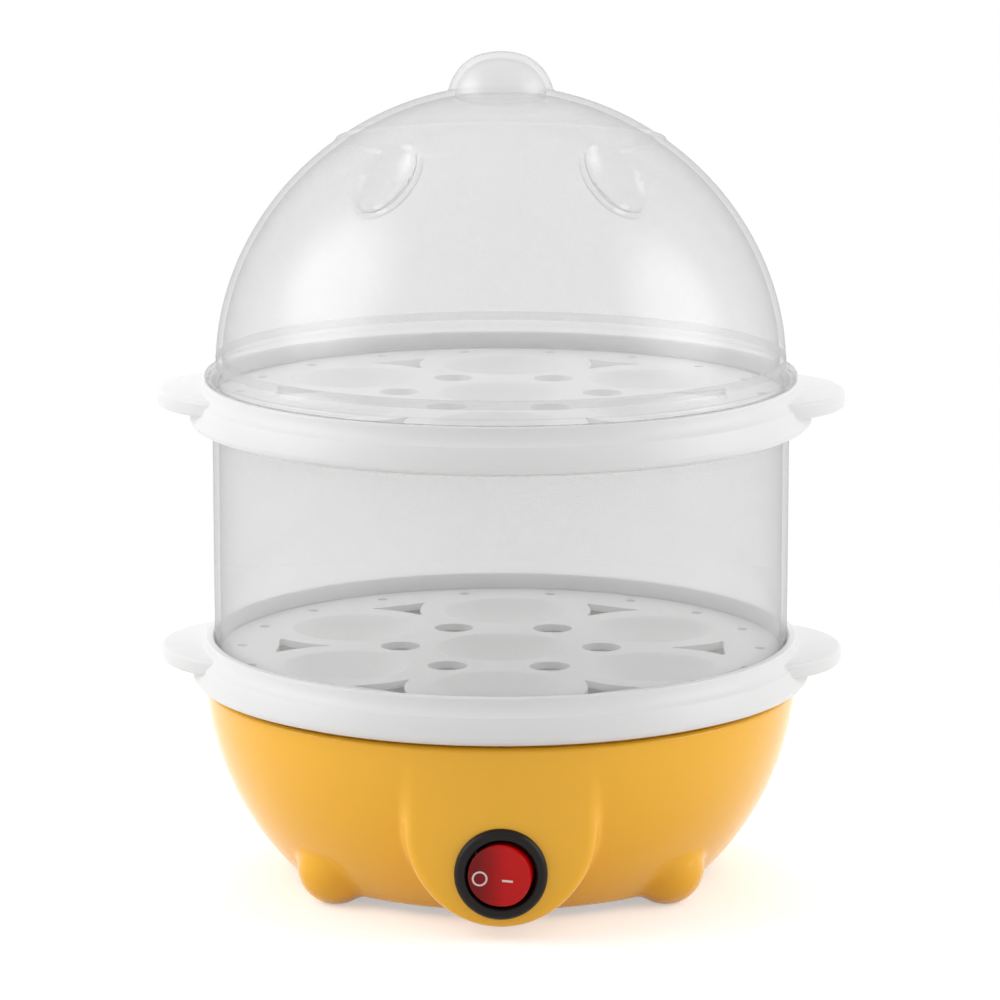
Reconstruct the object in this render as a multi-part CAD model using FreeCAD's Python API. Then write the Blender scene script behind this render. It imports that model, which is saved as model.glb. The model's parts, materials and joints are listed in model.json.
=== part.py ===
import FreeCAD, Part
import math
import os
from FreeCAD import Vector as V

os.makedirs("parts", exist_ok=True)

# Two-tier electric egg boiler.  Millimetres, +Z up, the floor at z = 0, the bowl's axis
# on the Z axis and the switch facing -Y.

# ---- driving dimensions ---------------------------------------------------------------
# bowl (bowl, feet, boss and collar below the weld line; deck, shoulder and neck above)
EDGE_Z = 2.3              # lower edge of the bowl above the floor
EDGE_R = 55.2
SHOULDER_Z = 48.8         # widest place of the bowl, just under the tray
SHOULDER_STEP = 2.2       # how far it stands out beyond the ring
SHOULDER_ROUND = 1.0
SIDE_CURVE_R = 73.5       # radius of the curved side
BOWL_WALL = 2.2
DECK_Z = 45.0             # seat of the heating plate
DECK_T = 2.4
HOUSING_WELD_Z = 38.0     # weld line between the bowl and its top ring
ROOM = 150.0              # further than anything reaches from the bowl's axis
DECK_LAND = 6.3           # plate's edge to the deck's hole, the gasket's seat
NECK_SEAT_Z = 56.7        # top edge of the neck, which carries the lower tray
FOOT_R = 9.8
FOOT_FLAT_R = 3.0
FOOT_X = 42.2
FOOT_Y = 37.3

# tiers
RING_R = 74.7             # outer radius of the clear ring, the neck and the dome's spigot
RING_WALL = 1.6
TIER_PITCH = 67.5         # plate of one tray to plate of the next
SLIP = 0.3                # radial clearance between ring and tray
TRAY_T = 1.8
TRAY_TURN = -1.5          # degrees: the loose trays are set down slightly turned
COLLAR_H = 4.2            # collar above the plate
COLLAR_STEP = 2.5         # collar's outside beyond the ring's
COLLAR_ROUND = 0.5
COLLAR_HOLLOW = 0.35      # how little the flare below the collar has spread at a third of it
RIM_STEP = 1.8            # rim's edge beyond the collar
RIM_DROP = 0.6            # plate to the rim's edge
SKIRT_STEP = 1.5          # skirt's widest place beyond the rim's edge
SKIRT_WIDE_Z = -5.2
SKIRT_DROP = 7.1          # plate to the lower edge of the outer skirt
SKIRT_ROUND = 1.1
SKIRT_INSET = 1.1         # rim's edge to the inside of the skirt
SLEEVE_DROP = 8.2         # plate to the lower edge of the inner sleeve
SLEEVE_T = 1.4
WEB_T = 1.2               # web between sleeve and skirt, below the plate's underside
FOOT_ROUND = 0.4          # edges of sleeve and rib
RIB_T = 1.4               # centring rib inside the ring
RIB_DROP = 4.6
EAR_R = 30.0              # ear outline
EAR_REACH = 10.0          # tip of the ear beyond the rim's edge
EAR_T = 4.3
EAR_TOP = 1.4             # top of the ear above the plate
EAR_SINK = 0.8            # how far the ear's root reaches into the collar
EAR_ROOT_R = 5.0
EAR_EDGE_R = 1.1

# egg cups and steam holes of a tray
EGG_R = 22.2              # hollow of a cup follows the egg's blunt end
CUP_DEPTH = 7.0
CUP_LIP_R = 1.2
CUP_PITCH_R = 45.4        # centre cup to each outer cup
OUTER_CUPS = 6
ROUND_HOLE_R = 5.2
ROUND_HOLE_PITCH_R = 26.3
STAR_ARM = 10.6           # three-cornered hole, centre to corner
STAR_OUT = 8.2            # star hole beyond the circle of the cups
STAR_SIDE_SAG = 1.6
STAR_BACK_SAG = 0.6
STAR_CORNER_R = 0.7
RIM_HOLE_R = 1.6
RIM_HOLE_INSET = 4.7      # neck's inside to the row of small holes
RIM_HOLES = 18

# dome lid
DOME_STEP = 1.0           # dome's wall inside the ring's outer radius
DOME_RISE = 71.6
DOME_POWER = 1.94         # 2 would be an ellipse; less is a little more pointed
DOME_POINTS = 18
DOME_WALL = 1.6
DOME_EQUATOR = 7.8        # equator above the upper tray's plate
FLARE_H = 4.4             # trumpet curve between wall and flange
FLARE_SHORT = 0.8         # the curve ends this far inside the flange's edge
FLANGE_STEP = 1.9         # flange beyond the ring's outer radius
FLANGE_T = 1.6
SPIGOT_GAP = 0.6          # spigot stops short of the plate; the flange carries the lid
KNOB_R = 13.4
KNOB_H = 10.3
KNOB_WALL = 1.8
KNOB_WELD = 1.6           # weld line between dome and knob, above the knob's foot
KNOB_FLANK = 0.77         # the grip's side passes through this share of its radius
KNOB_FLANK_H = 0.62       # at this share of its height
KNOB_CROWN = 0.50         # its crown is a cap of this share of the radius
KNOB_CROWN_H = 0.12
SCOOP_AZ = 37.0           # degrees either side of the front
SCOOP_POLAR = 41.5        # degrees down from the top
SCOOP_HALF_LEN = 11.6
SCOOP_HALF_W = 7.4
SCOOP_DEPTH = 5.0
VENT_R = 1.7
VENT_BELOW = 5.5          # degrees below the middle of the scoop
VENT_REACH = 30.0

# switch boss and switch
BOSS_HALF_W = 24.1
BOSS_ARC_Z = 27.6         # centre of the round lower end
BOSS_STEP = 0.8           # front of the boss beyond the ring's outer radius
BOSS_FRONT_R = 109.0      # gentle curve across the boss
BOSS_FLAT = 0.3           # depth of the flat that carries the switch
BOSS_EDGE_R = 2.4
SWITCH_Z = 17.6
BEZEL_R = 11.6
BEZEL_T = 2.0
BARREL_R = 10.0
PANEL_SLIP = 0.15
BARREL_LEN = 13.5
WELL_R = 8.7              # well the rocker moves in
WELL_FLOOR = 12.0
ROCKER_R = 7.9
ROCKER_SWEEP_R = 8.45     # rocker ends, measured from the pivot
PIVOT_U = 0.5             # pivot in front of the boss flat
ROCKER_VALLEY_U = 2.2
ROCKER_FACE_ANGLE = 12.0
ROCKER_TILT = 10.0        # either side of the middle
ROCKER_DEPTH = 3.5
STEM_HALF_W = 2.2
STEM_HALF_L = 5.0
STEM_LEN = 7.0
AXLE_R = 1.0
AXLE_SLIP = 0.05
AXLE_END = 9.2
PLUNGER_R = 1.1
PLUNGER_SEAT = 3.5        # depth of the plunger's bore in the stem
PLUNGER_TIP = 9.9
SEESAW_U = 10.9           # fulcrum behind the boss flat
SEESAW_HALF = 6.5
SEESAW_T = 0.7
SEESAW_W = 4.0
SEESAW_TILT = 6.0
SWITCH_TAB_W = 4.8
TAB_T = 0.8
SWITCH_TAB_OUT = 8.5
SIDE_TAB_X = 6.0

# heating plate and what is pressed against it
PLATE_INSET = 6.0         # neck's inside to the plate's edge
PLATE_T = 0.8
BASIN_SLIP = 0.2          # basin's wall inside the deck's hole
BASIN_TAPER = 1.4
BASIN_DEPTH = 8.0
GASKET_T = 1.2
GASKET_EDGE = 0.7
SPREADER_R = 44.0
SPREADER_T = 2.5
SPREADER_BORE_R = 9.6
TUBE_R = 3.3
ELEMENT_R = 31.0
ELEMENT_GAP = 28.0        # degrees, half of the opening at the front
ELEMENT_SINK = 0.7
LEG_BEND_R = 5.5
LEG_END_Z = 23.5
SEAL_L = 2.6
PIN_R = 1.0
BLADE_W = 6.3
BLADE_L = 8.0
STUD_R = 2.0
STUD_X = 39.5
STUD_LEN = 18.0
STUD_FOOT_R = 3.2
STUD_FOOT_T = 0.8
STUD_SLIP = 0.3
BAR_W = 12.0
BAR_T = 1.5
BAR_HALF = 45.0
BAR_EYE_R = 11.0
BAR_EYE_BORE_R = 5.8
WASHER_R = 4.5
WASHER_T = 0.8
NUT_AF = 7.0
NUT_T = 3.2
CAP_R = 8.0
CAP_T = 3.0
CASE_R = 7.5
CASE_T = 6.2
BLADE_Y = 3.2             # thermostat blades either side of its axis
FUSE_R = 2.4
FUSE_HALF = 11.0
FUSE_Y = 17.0
CLIP_T = 0.5
CLIP_W = 7.0
CLIP_EAR = 4.0

# bottom cover, screws
COVER_INSET = 2.8         # bowl's lower edge to the cover's
COVER_SLIP = 0.3
COVER_T = 2.0
COVER_RISE = 0.4          # cover sits this far up inside the edge
POST_R = 3.6
POST_PITCH_R = 46.0
POST_AZ = 60.0
POST_H = 13.0
GUSSET_T = 2.0
SCREW_R = 1.45
SCREW_L = 9.5
SCREW_HEAD_R = 2.8
SCREW_HEAD_T = 1.3
VENT_SLOTS = 12
VENT_SLOT_W = 2.6
VENT_SLOT_L = 13.0
VENT_SLOT_PITCH_R = 26.0

# cord outlet at the back
CORD_Z = 19.0
COLLAR_R = 10.5
COLLAR_BACK = 0.1         # face of the cord's collar inside the ring's outer radius
GLAND_R = 5.0
GLAND_BORE_R = 3.3
GLAND_FLANGE_R = 7.4
GLAND_FLANGE_T = 2.0
GLAND_LEN = 13.0
GLAND_NUT_AF = 13.6
GLAND_NUT_T = 3.6

# connector block inside, where the cord's cores are clamped
BLOCK_Y = 33.0
BLOCK_L = 22.0
BLOCK_W = 11.0
BLOCK_H = 12.0
POLE_X = 5.5
POLE_SIDE = 5.0
POLE_BORE_R = 1.4
BLOCK_SCREW_R = 1.3
WIRE_R = 1.1
BARREL_OUT_R = 1.7        # crimped barrel of a push-on terminal
BARREL_GRIP = 5.0

# ---- radii and heights worked out from them ---------------------------------------------
SHOULDER_R = RING_R + SHOULDER_STEP
COLLAR_TOP_R = RING_R + COLLAR_STEP
RIM_R = COLLAR_TOP_R + RIM_STEP
SKIRT_R = RIM_R + SKIRT_STEP
EAR_TIP = RIM_R + EAR_REACH
DOME_R = RING_R - DOME_STEP
FLANGE_R = RING_R + FLANGE_STEP
NECK_R = RING_R - BOWL_WALL               # inside of the neck
PLATE_R = NECK_R - PLATE_INSET
DECK_HOLE_R = PLATE_R - DECK_LAND
BASIN_TOP_R = DECK_HOLE_R - BASIN_SLIP
BASIN_R = BASIN_TOP_R - BASIN_TAPER
STAR_PITCH_R = CUP_PITCH_R + STAR_OUT
RIM_HOLE_PITCH_R = NECK_R - RIM_HOLE_INSET
BOSS_FRONT = RING_R + BOSS_STEP           # axis of the bowl to the front of the boss
BOSS_FACE_Y = BOSS_FLAT - BOSS_FRONT
COVER_R = EDGE_R - COVER_INSET
COLLAR_FACE_Y = RING_R - COLLAR_BACK
LOWER_Z = NECK_SEAT_Z + TRAY_T            # top of the lower tray's plate
UPPER_Z = LOWER_Z + TIER_PITCH
PLATE_TOP_Z = DECK_Z + GASKET_T + PLATE_T
BASIN_Z = PLATE_TOP_Z - BASIN_DEPTH       # top of the basin floor
BASIN_UNDER_Z = BASIN_Z - PLATE_T
SPREADER_UNDER_Z = BASIN_UNDER_Z - SPREADER_T
ELEMENT_Z = SPREADER_UNDER_Z - TUBE_R + ELEMENT_SINK
BAR_TOP_Z = ELEMENT_Z - TUBE_R
COVER_Z = EDGE_Z + COVER_RISE
COVER_TOP_Z = COVER_Z + COVER_T


# ---- geometry helpers -------------------------------------------------------------------
def at(r, z):
    """Point of an (r, z) outline in the XZ plane."""
    return V(r, 0, z)


def outline(items, lift=at):
    """Closed face from corners (a, b), rounded corners (a, b, radius) and
    ("via", a, b), which bends the side between its neighbours into an arc."""
    corners = [i for i in items if i[0] != "via"]
    via = {}
    count = 0
    for item in items:
        if item[0] == "via":
            via[count - 1] = V(item[1], item[2], 0)
        else:
            count += 1
    flat = [V(c[0], c[1], 0) for c in corners]
    size = len(corners)
    enter, leave, edges = [], [], []
    for k, c in enumerate(corners):
        p = flat[k]
        if len(c) < 3 or c[2] == 0:
            enter.append(p)
            leave.append(p)
            continue
        u = (flat[k - 1] - p).normalize()
        w = (flat[(k + 1) % size] - p).normalize()
        half = u.getAngle(w) / 2
        enter.append(p + u * (c[2] / math.tan(half)))
        leave.append(p + w * (c[2] / math.tan(half)))
    for k, c in enumerate(corners):
        p = flat[k]
        if (enter[k] - leave[k]).Length > 1e-7:
            inward = ((enter[k] + leave[k]) * 0.5 - p).normalize()
            half = (enter[k] - p).getAngle(leave[k] - p) / 2
            middle = p + inward * (c[2] / math.sin(half) - c[2])
            edges.append(arc(lift, enter[k], middle, leave[k]))
        nxt = (k + 1) % size
        if (leave[k] - enter[nxt]).Length < 1e-7:
            continue
        if k in via:
            edges.append(arc(lift, leave[k], via[k], enter[nxt]))
        else:
            edges.append(Part.makeLine(lift(leave[k].x, leave[k].y),
                                       lift(enter[nxt].x, enter[nxt].y)))
    return Part.Face(Part.Wire(edges))


def arc(lift, a, m, b):
    return Part.Arc(lift(a.x, a.y), lift(m.x, m.y), lift(b.x, b.y)).toShape()


def turned(items):
    """Solid of revolution about Z from an (r, z) outline."""
    return outline(items).revolve(V(0, 0, 0), V(0, 0, 1), 360)


def extruded(items, z, height):
    """Plan outline (x, y) extruded upward from z."""
    face = outline(items, lambda x, y: V(x, y, z))
    return face.extrude(V(0, 0, height))


def disc(r, z, height, x=0.0, y=0.0):
    return Part.makeCylinder(r, height, V(x, y, z))


def bar_y(r, y0, y1, x=0.0, z=0.0):
    """Round bar along Y."""
    return Part.makeCylinder(r, y1 - y0, V(x, y0, z), V(0, 1, 0))


def block(x0, x1, y0, y1, z0, z1):
    return Part.makeBox(x1 - x0, y1 - y0, z1 - z0, V(x0, y0, z0))


def turned_about_z(shape, degrees):
    copy = shape.copy()
    copy.rotate(V(0, 0, 0), V(0, 0, 1), degrees)
    return copy


def moved(shape, x=0.0, y=0.0, z=0.0):
    copy = shape.copy()
    copy.translate(V(x, y, z))
    return copy


def around(shape, count, start=0.0):
    return [turned_about_z(shape, start + 360.0 * k / count) for k in range(count)]


def hexagon(across_flats, z, height):
    corner = across_flats / math.sqrt(3)
    ring = [(corner * math.cos(math.radians(60 * k)), corner * math.sin(math.radians(60 * k)))
            for k in range(6)]
    return extruded(ring, z, height)


def save(shape, name):
    shape = shape.removeSplitter() if len(shape.Solids) == 1 else shape
    shape.exportStep("parts/" + name + ".step")
    print(name, "solids", len(shape.Solids), "valid", shape.isValid(),
          "volume", round(shape.Volume, 1))


# ---- bowl --------------------------------------------------------------------------------
def side_centre():
    """Centre of the side's curve, from its two ends and its radius."""
    ax, az, bx, bz = EDGE_R, EDGE_Z, SHOULDER_R, SHOULDER_Z
    chord = math.hypot(bx - ax, bz - az)
    reach = math.sqrt(SIDE_CURVE_R ** 2 - chord ** 2 / 4)
    return ((ax + bx) / 2 - reach * (bz - az) / chord,
            (az + bz) / 2 + reach * (bx - ax) / chord)


def bowl_r(z, inset=0.0):
    """Radius of the bowl's side at height z, inset by a wall."""
    cr, cz = side_centre()
    return cr + math.sqrt((SIDE_CURVE_R - inset) ** 2 - (z - cz) ** 2)


def bowl_skin():
    middle = (EDGE_Z + SHOULDER_Z) / 2
    return turned([
        (0, EDGE_Z), (EDGE_R - 1.2, EDGE_Z), ("via", EDGE_R - 0.3, EDGE_Z + 0.3),
        (bowl_r(EDGE_Z + 1.2), EDGE_Z + 1.2), ("via", bowl_r(middle), middle),
        (SHOULDER_R, SHOULDER_Z),
        ("via", SHOULDER_R - 0.3 * SHOULDER_ROUND, SHOULDER_Z + 0.7 * SHOULDER_ROUND),
        (SHOULDER_R - SHOULDER_ROUND, SHOULDER_Z + SHOULDER_ROUND),
        (RING_R, SHOULDER_Z + SHOULDER_ROUND),
        (RING_R, NECK_SEAT_Z - 0.6), ("via", RING_R - 0.2, NECK_SEAT_Z - 0.2),
        (RING_R - 0.6, NECK_SEAT_Z), (0, NECK_SEAT_Z)])


def bowl_cavity():
    """Space under the deck, open at the bottom for the cover."""
    mouth = COVER_R + COVER_SLIP
    floor = COVER_TOP_Z
    roof = DECK_Z - DECK_T
    middle = (floor + roof) / 2
    return turned([
        (0, EDGE_Z - 1), (mouth, EDGE_Z - 1), (mouth, floor), (bowl_r(floor, BOWL_WALL), floor),
        ("via", bowl_r(middle, BOWL_WALL), middle), (bowl_r(roof, BOWL_WALL), roof),
        (0, roof)])


def plate_recess():
    """Space above the deck: seat of the gasket and plate, open to the top."""
    neck = NECK_R
    seat = PLATE_R + GASKET_EDGE + 0.5
    land = DECK_Z + GASKET_T + 0.4
    return turned([
        (0, DECK_Z - DECK_T - 1), (DECK_HOLE_R, DECK_Z - DECK_T - 1), (DECK_HOLE_R, DECK_Z),
        (seat, DECK_Z), (seat, land), (neck, land + 1.6, 1.5), (neck, NECK_SEAT_Z + 1),
        (0, NECK_SEAT_Z + 1)])


def boss_prism(half_w, inset):
    """U-shaped boss with a gently curved front, hanging straight down from the shoulder."""
    arc_z = BOSS_ARC_Z
    top = SHOULDER_Z - 0.6
    back = -EDGE_R * 0.72
    face = outline([(-half_w, top), (-half_w, arc_z), ("via", 0, arc_z - half_w),
                    (half_w, arc_z), (half_w, top)], lambda x, z: V(x, back, z))
    prism = face.extrude(V(0, back - BOSS_FRONT, 0))
    front = disc(BOSS_FRONT_R - inset, 0, SHOULDER_Z, 0, BOSS_FRONT_R - BOSS_FRONT)
    return prism.common(front)


def switch_boss():
    boss = boss_prism(BOSS_HALF_W, 0)
    top = SHOULDER_Z - 0.6
    rim = [e for e in boss.Edges if e.BoundBox.YMax < -EDGE_R and e.BoundBox.ZMin < top - 1]
    boss = boss.makeFillet(BOSS_EDGE_R, rim)
    pad = bar_y(BEZEL_R + 0.3, BOSS_FACE_Y, -EDGE_R, 0, SWITCH_Z)
    clear = bar_y(BEZEL_R + 0.3, -90, BOSS_FACE_Y, 0, SWITCH_Z)
    return boss.fuse(pad).cut(clear)


def foot(inset=0.0):
    """Round nub with a small flat for the floor."""
    centre_z = math.sqrt(FOOT_R ** 2 - FOOT_FLAT_R ** 2)
    ball = Part.makeSphere(FOOT_R - inset, V(FOOT_X, FOOT_Y, centre_z))
    return ball.common(block(0, 90, 0, 90, inset, 40))


def four_ways(shape):
    """Copies mirrored left-right and front-back."""
    pair = [shape, shape.mirror(V(0, 0, 0), V(1, 0, 0))]
    return pair + [s.mirror(V(0, 0, 0), V(0, 1, 0)) for s in pair]


def post_places():
    angles = (POST_AZ, 180 - POST_AZ, 180 + POST_AZ, 360 - POST_AZ)
    return [(math.cos(math.radians(a)) * POST_PITCH_R,
             math.sin(math.radians(a)) * POST_PITCH_R, a) for a in angles]


def screw_post(x, y, azimuth):
    post = disc(POST_R, COVER_TOP_Z, POST_H, x, y)
    reach = bowl_r(COVER_TOP_Z + POST_H, BOWL_WALL) + BOWL_WALL / 2
    gusset = extruded([(POST_PITCH_R, -GUSSET_T / 2), (reach, -GUSSET_T / 2),
                       (reach, GUSSET_T / 2), (POST_PITCH_R, GUSSET_T / 2)],
                      COVER_TOP_Z + 2, POST_H - 4)
    post = post.fuse(turned_about_z(gusset, azimuth))
    return post.cut(disc(SCREW_R, COVER_TOP_Z - 1, POST_H - 1, x, y))


def housing():
    """Bowl, deck and neck as they are once welded together."""
    skin = bowl_skin()
    collar = bar_y(COLLAR_R, 30, COLLAR_FACE_Y, 0, CORD_Z)
    shell = skin.fuse([switch_boss(), collar] + four_ways(foot()))
    hollow_boss = boss_prism(BOSS_HALF_W - BOWL_WALL, BOWL_WALL + 0.3)
    hollow_boss = hollow_boss.common(block(-90, 90, -90, 0, 0, DECK_Z - DECK_T))
    hollow_collar = bar_y(COLLAR_R - BOWL_WALL, 29, COLLAR_FACE_Y - BOWL_WALL, 0, CORD_Z)
    feet_hollow = [f for f in four_ways(foot(BOWL_WALL))]
    shell = shell.cut([bowl_cavity(), hollow_boss, hollow_collar, plate_recess()]
                      + feet_hollow)
    shell = shell.fuse([screw_post(*p).common(skin) for p in post_places()])
    switch_hole = bar_y(BARREL_R + PANEL_SLIP, -90, BOSS_FACE_Y + BOWL_WALL + 1, 0, SWITCH_Z)
    cord_hole = bar_y(GLAND_R, COLLAR_FACE_Y - BOWL_WALL - 1, 90, 0, CORD_Z)
    return shell.cut([switch_hole, cord_hole])


def parted(shape, z):
    """What lies below and what lies above a flat weld line."""
    low = block(-ROOM, ROOM, -ROOM, ROOM, z - 2 * ROOM, z)
    return shape.common(low), shape.cut(low)


# ---- bottom cover ------------------------------------------------------------------------
def bottom_cover():
    plate = turned([(0, COVER_Z), (COVER_R - 0.6, COVER_Z), (COVER_R, COVER_Z + 0.6),
                    (COVER_R, COVER_TOP_Z), (0, COVER_TOP_Z)])
    rib_r = VENT_SLOT_PITCH_R - VENT_SLOT_L / 2 - 3
    rib = turned([(rib_r - 1, COVER_TOP_Z), (rib_r, COVER_TOP_Z), (rib_r, COVER_TOP_Z + 1.6),
                  (rib_r - 1, COVER_TOP_Z + 1.6)])
    plate = plate.fuse(rib)
    half_l, half_w = VENT_SLOT_L / 2, VENT_SLOT_W / 2
    slot = extruded([(VENT_SLOT_PITCH_R - half_l, -half_w, 1.2),
                     (VENT_SLOT_PITCH_R + half_l, -half_w, 1.2),
                     (VENT_SLOT_PITCH_R + half_l, half_w, 1.2),
                     (VENT_SLOT_PITCH_R - half_l, half_w, 1.2)], COVER_Z - 1, COVER_T + 4)
    cuts = around(slot, VENT_SLOTS, 15)
    for x, y, _ in post_places():
        cuts.append(disc(SCREW_R + 0.2, COVER_Z - 1, COVER_T + 2, x, y))
        cuts.append(disc(SCREW_HEAD_R + 0.3, COVER_Z - 1, 1 + SCREW_HEAD_T, x, y))
    cuts.append(disc(BLOCK_SCREW_R, COVER_Z - 1, COVER_T + 2, 0, BLOCK_Y))
    return plate.cut(cuts)


def pan_screw(radius, length, head_r, head_t):
    """Pan-head screw pointing up, its head's seat at z = 0."""
    body = turned([(0, -head_t), (head_r * 0.7, -head_t), ("via", head_r * 0.94, -head_t * 0.7),
                   (head_r, -0.2), (head_r, 0), (radius, 0), (radius, length - radius),
                   (0, length)])
    blade = head_r * 0.6
    cross = block(-blade, blade, -0.35, 0.35, -head_t - 1, -head_t * 0.4)
    cross = cross.fuse(block(-0.35, 0.35, -blade, blade, -head_t - 1, -head_t * 0.4))
    return body.cut(cross)


def cover_screws():
    screw = pan_screw(SCREW_R, SCREW_L, SCREW_HEAD_R, SCREW_HEAD_T)
    seat = COVER_Z + SCREW_HEAD_T
    return Part.makeCompound([moved(screw, x, y, seat) for x, y, _ in post_places()])


# ---- heating plate -----------------------------------------------------------------------
def heating_plate():
    t = PLATE_T
    top, floor = PLATE_TOP_Z, BASIN_Z
    return turned([
        (0, floor), (BASIN_R - t, floor, 4.0), (BASIN_TOP_R - t, top, 1.8), (PLATE_R, top, 0.7),
        (PLATE_R, top - t), (BASIN_TOP_R, top - t, 1.0), (BASIN_R, floor - t, 4.8),
        (0, floor - t)])


def plate_gasket():
    under = PLATE_TOP_Z - PLATE_T
    inner = DECK_HOLE_R + 1.0
    outer = PLATE_R + GASKET_EDGE
    return turned([(inner, DECK_Z), (outer, DECK_Z), (outer, PLATE_TOP_Z, 0.3),
                   (PLATE_R, PLATE_TOP_Z), (PLATE_R, under), (inner, under)])


def element_path():
    """Horseshoe with both ends bent straight down."""
    start = math.radians(270 + ELEMENT_GAP)
    stop = math.radians(270 + 360 - ELEMENT_GAP)
    edges = []

    def on_ring(a):
        return V(ELEMENT_R * math.cos(a), ELEMENT_R * math.sin(a), ELEMENT_Z)

    def leg(a, outward):
        p = on_ring(a)
        along = V(-math.sin(a), math.cos(a), 0) * outward
        knee = p + along * LEG_BEND_R + V(0, 0, -LEG_BEND_R)
        middle = p + along * (LEG_BEND_R * math.sin(math.pi / 4)) \
            + V(0, 0, -LEG_BEND_R * (1 - math.cos(math.pi / 4)))
        return p, middle, knee, V(knee.x, knee.y, LEG_END_Z)

    p0, m0, k0, e0 = leg(start, -1)
    p1, m1, k1, e1 = leg(stop, 1)
    edges.append(Part.makeLine(e0, k0))
    edges.append(Part.Arc(k0, m0, p0).toShape())
    edges.append(Part.Arc(p0, on_ring((start + stop) / 2), p1).toShape())
    edges.append(Part.Arc(p1, m1, k1).toShape())
    edges.append(Part.makeLine(k1, e1))
    return Part.Wire(edges), (e0, e1)


def heating_element():
    path, (start, _) = element_path()
    mouth = Part.Wire(Part.makeCircle(TUBE_R, start, V(0, 0, 1)))
    return path.makePipeShell([mouth], True, False)


def leg_ends():
    return element_path()[1]


def element_seals():
    seals = []
    for e in leg_ends():
        bead = turned([(PIN_R, 0), (TUBE_R - 0.6, 0, 0.5), (TUBE_R - 0.2, SEAL_L),
                       (PIN_R, SEAL_L)])
        seals.append(moved(bead, e.x, e.y, e.z - SEAL_L))
    return Part.makeCompound(seals)


def element_pins():
    pins = []
    for e in leg_ends():
        pin = disc(PIN_R, LEG_END_Z - SEAL_L - 1.5, SEAL_L + 1.5, e.x, e.y)
        top = LEG_END_Z - SEAL_L - 1.2
        blade = block(e.x - BLADE_W / 2, e.x + BLADE_W / 2, e.y - TAB_T / 2, e.y + TAB_T / 2,
                      top - BLADE_L, top)
        pins.append(pin.fuse(blade).removeSplitter())
    return Part.makeCompound(pins)


def heat_spreader():
    plate = turned([(SPREADER_BORE_R, SPREADER_UNDER_Z), (SPREADER_R, SPREADER_UNDER_Z, 0.4),
                    (SPREADER_R, BASIN_UNDER_Z), (SPREADER_BORE_R, BASIN_UNDER_Z)])
    cuts = [heating_element()]
    for x in (-STUD_X, STUD_X):
        cuts.append(disc(STUD_FOOT_R + STUD_SLIP, SPREADER_UNDER_Z - 1, SPREADER_T + 2, x, 0))
    return plate.cut(cuts)


def plate_studs():
    studs = []
    for x in (-STUD_X, STUD_X):
        stud = turned([(0, 0), (STUD_FOOT_R, 0), (STUD_FOOT_R, -STUD_FOOT_T),
                       (STUD_R, -STUD_FOOT_T), (STUD_R, -STUD_LEN + 0.6),
                       (STUD_R - 0.6, -STUD_LEN), (0, -STUD_LEN)])
        studs.append(moved(stud, x, 0, BASIN_UNDER_Z))
    return Part.makeCompound(studs)


def bar_eye_top():
    """The bar's middle is set down to the thermostat's base."""
    return BASIN_UNDER_Z - CAP_T - CASE_T


def clamp_bar():
    t, low, high = BAR_T, bar_eye_top(), BAR_TOP_Z
    bend0, bend1 = BAR_EYE_R + 3.0, BAR_EYE_R + 6.0
    upper = [(-BAR_HALF, high), (-bend1, high), (-bend0, low), (bend0, low), (bend1, high),
             (BAR_HALF, high)]
    lower = [(x, z - t) for x, z in reversed(upper)]
    strip = outline(upper + lower).extrude(V(0, BAR_W, 0))
    strip.translate(V(0, -BAR_W / 2, 0))
    strip = strip.fuse(disc(BAR_EYE_R, low - t, t))
    cuts = [disc(BAR_EYE_BORE_R, low - t - 1, t + 2)]
    cuts += [disc(STUD_R + 0.25, high - t - 1, t + 2, x) for x in (-STUD_X, STUD_X)]
    return strip.cut(cuts)


def clamp_washers():
    z = BAR_TOP_Z - BAR_T - WASHER_T
    return Part.makeCompound([disc(WASHER_R, z, WASHER_T, x).cut(
        disc(STUD_R + 0.15, z - 1, WASHER_T + 2, x)) for x in (-STUD_X, STUD_X)])


def clamp_nuts():
    z = BAR_TOP_Z - BAR_T - WASHER_T - NUT_T
    nut = hexagon(NUT_AF, z, NUT_T).cut(disc(STUD_R, z - 1, NUT_T + 2))
    return Part.makeCompound([moved(nut, x) for x in (-STUD_X, STUD_X)])


def thermostat_cap():
    top = BASIN_UNDER_Z
    return turned([(0, top - CAP_T), (CAP_R + 0.9, top - CAP_T), (CAP_R + 0.9, top - CAP_T + 0.6),
                   (CAP_R, top - CAP_T + 0.6), (CAP_R, top, 0.8), (0, top)])


def thermostat_case():
    top = BASIN_UNDER_Z - CAP_T
    low = bar_eye_top()
    return turned([(0, low), (CASE_R, low, 0.4), (CASE_R, top), (0, top)])


def thermostat_blades():
    low = bar_eye_top()
    drop = BAR_T + 2.0
    blades = []
    for side in (-1, 1):
        y = side * BLADE_Y
        foot_z = low - drop - TAB_T
        upright = block(-BLADE_W / 2, BLADE_W / 2, y - TAB_T / 2, y + TAB_T / 2, foot_z, low)
        ends = sorted((y + side * TAB_T / 2, y + side * (BLADE_L + 2)))
        tongue = block(-BLADE_W / 2, BLADE_W / 2, ends[0], ends[1], foot_z, foot_z + TAB_T)
        blades.append(upright.fuse(tongue).removeSplitter())
    return Part.makeCompound(blades)


def thermal_fuse():
    z = SPREADER_UNDER_Z - FUSE_R
    sleeve = Part.makeCylinder(FUSE_R, 2 * FUSE_HALF, V(-FUSE_HALF, FUSE_Y, z), V(1, 0, 0))
    tips = Part.makeCylinder(0.5, 2 * FUSE_HALF + 3, V(-FUSE_HALF - 1.5, FUSE_Y, z), V(1, 0, 0))
    return sleeve.fuse(tips)


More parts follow.
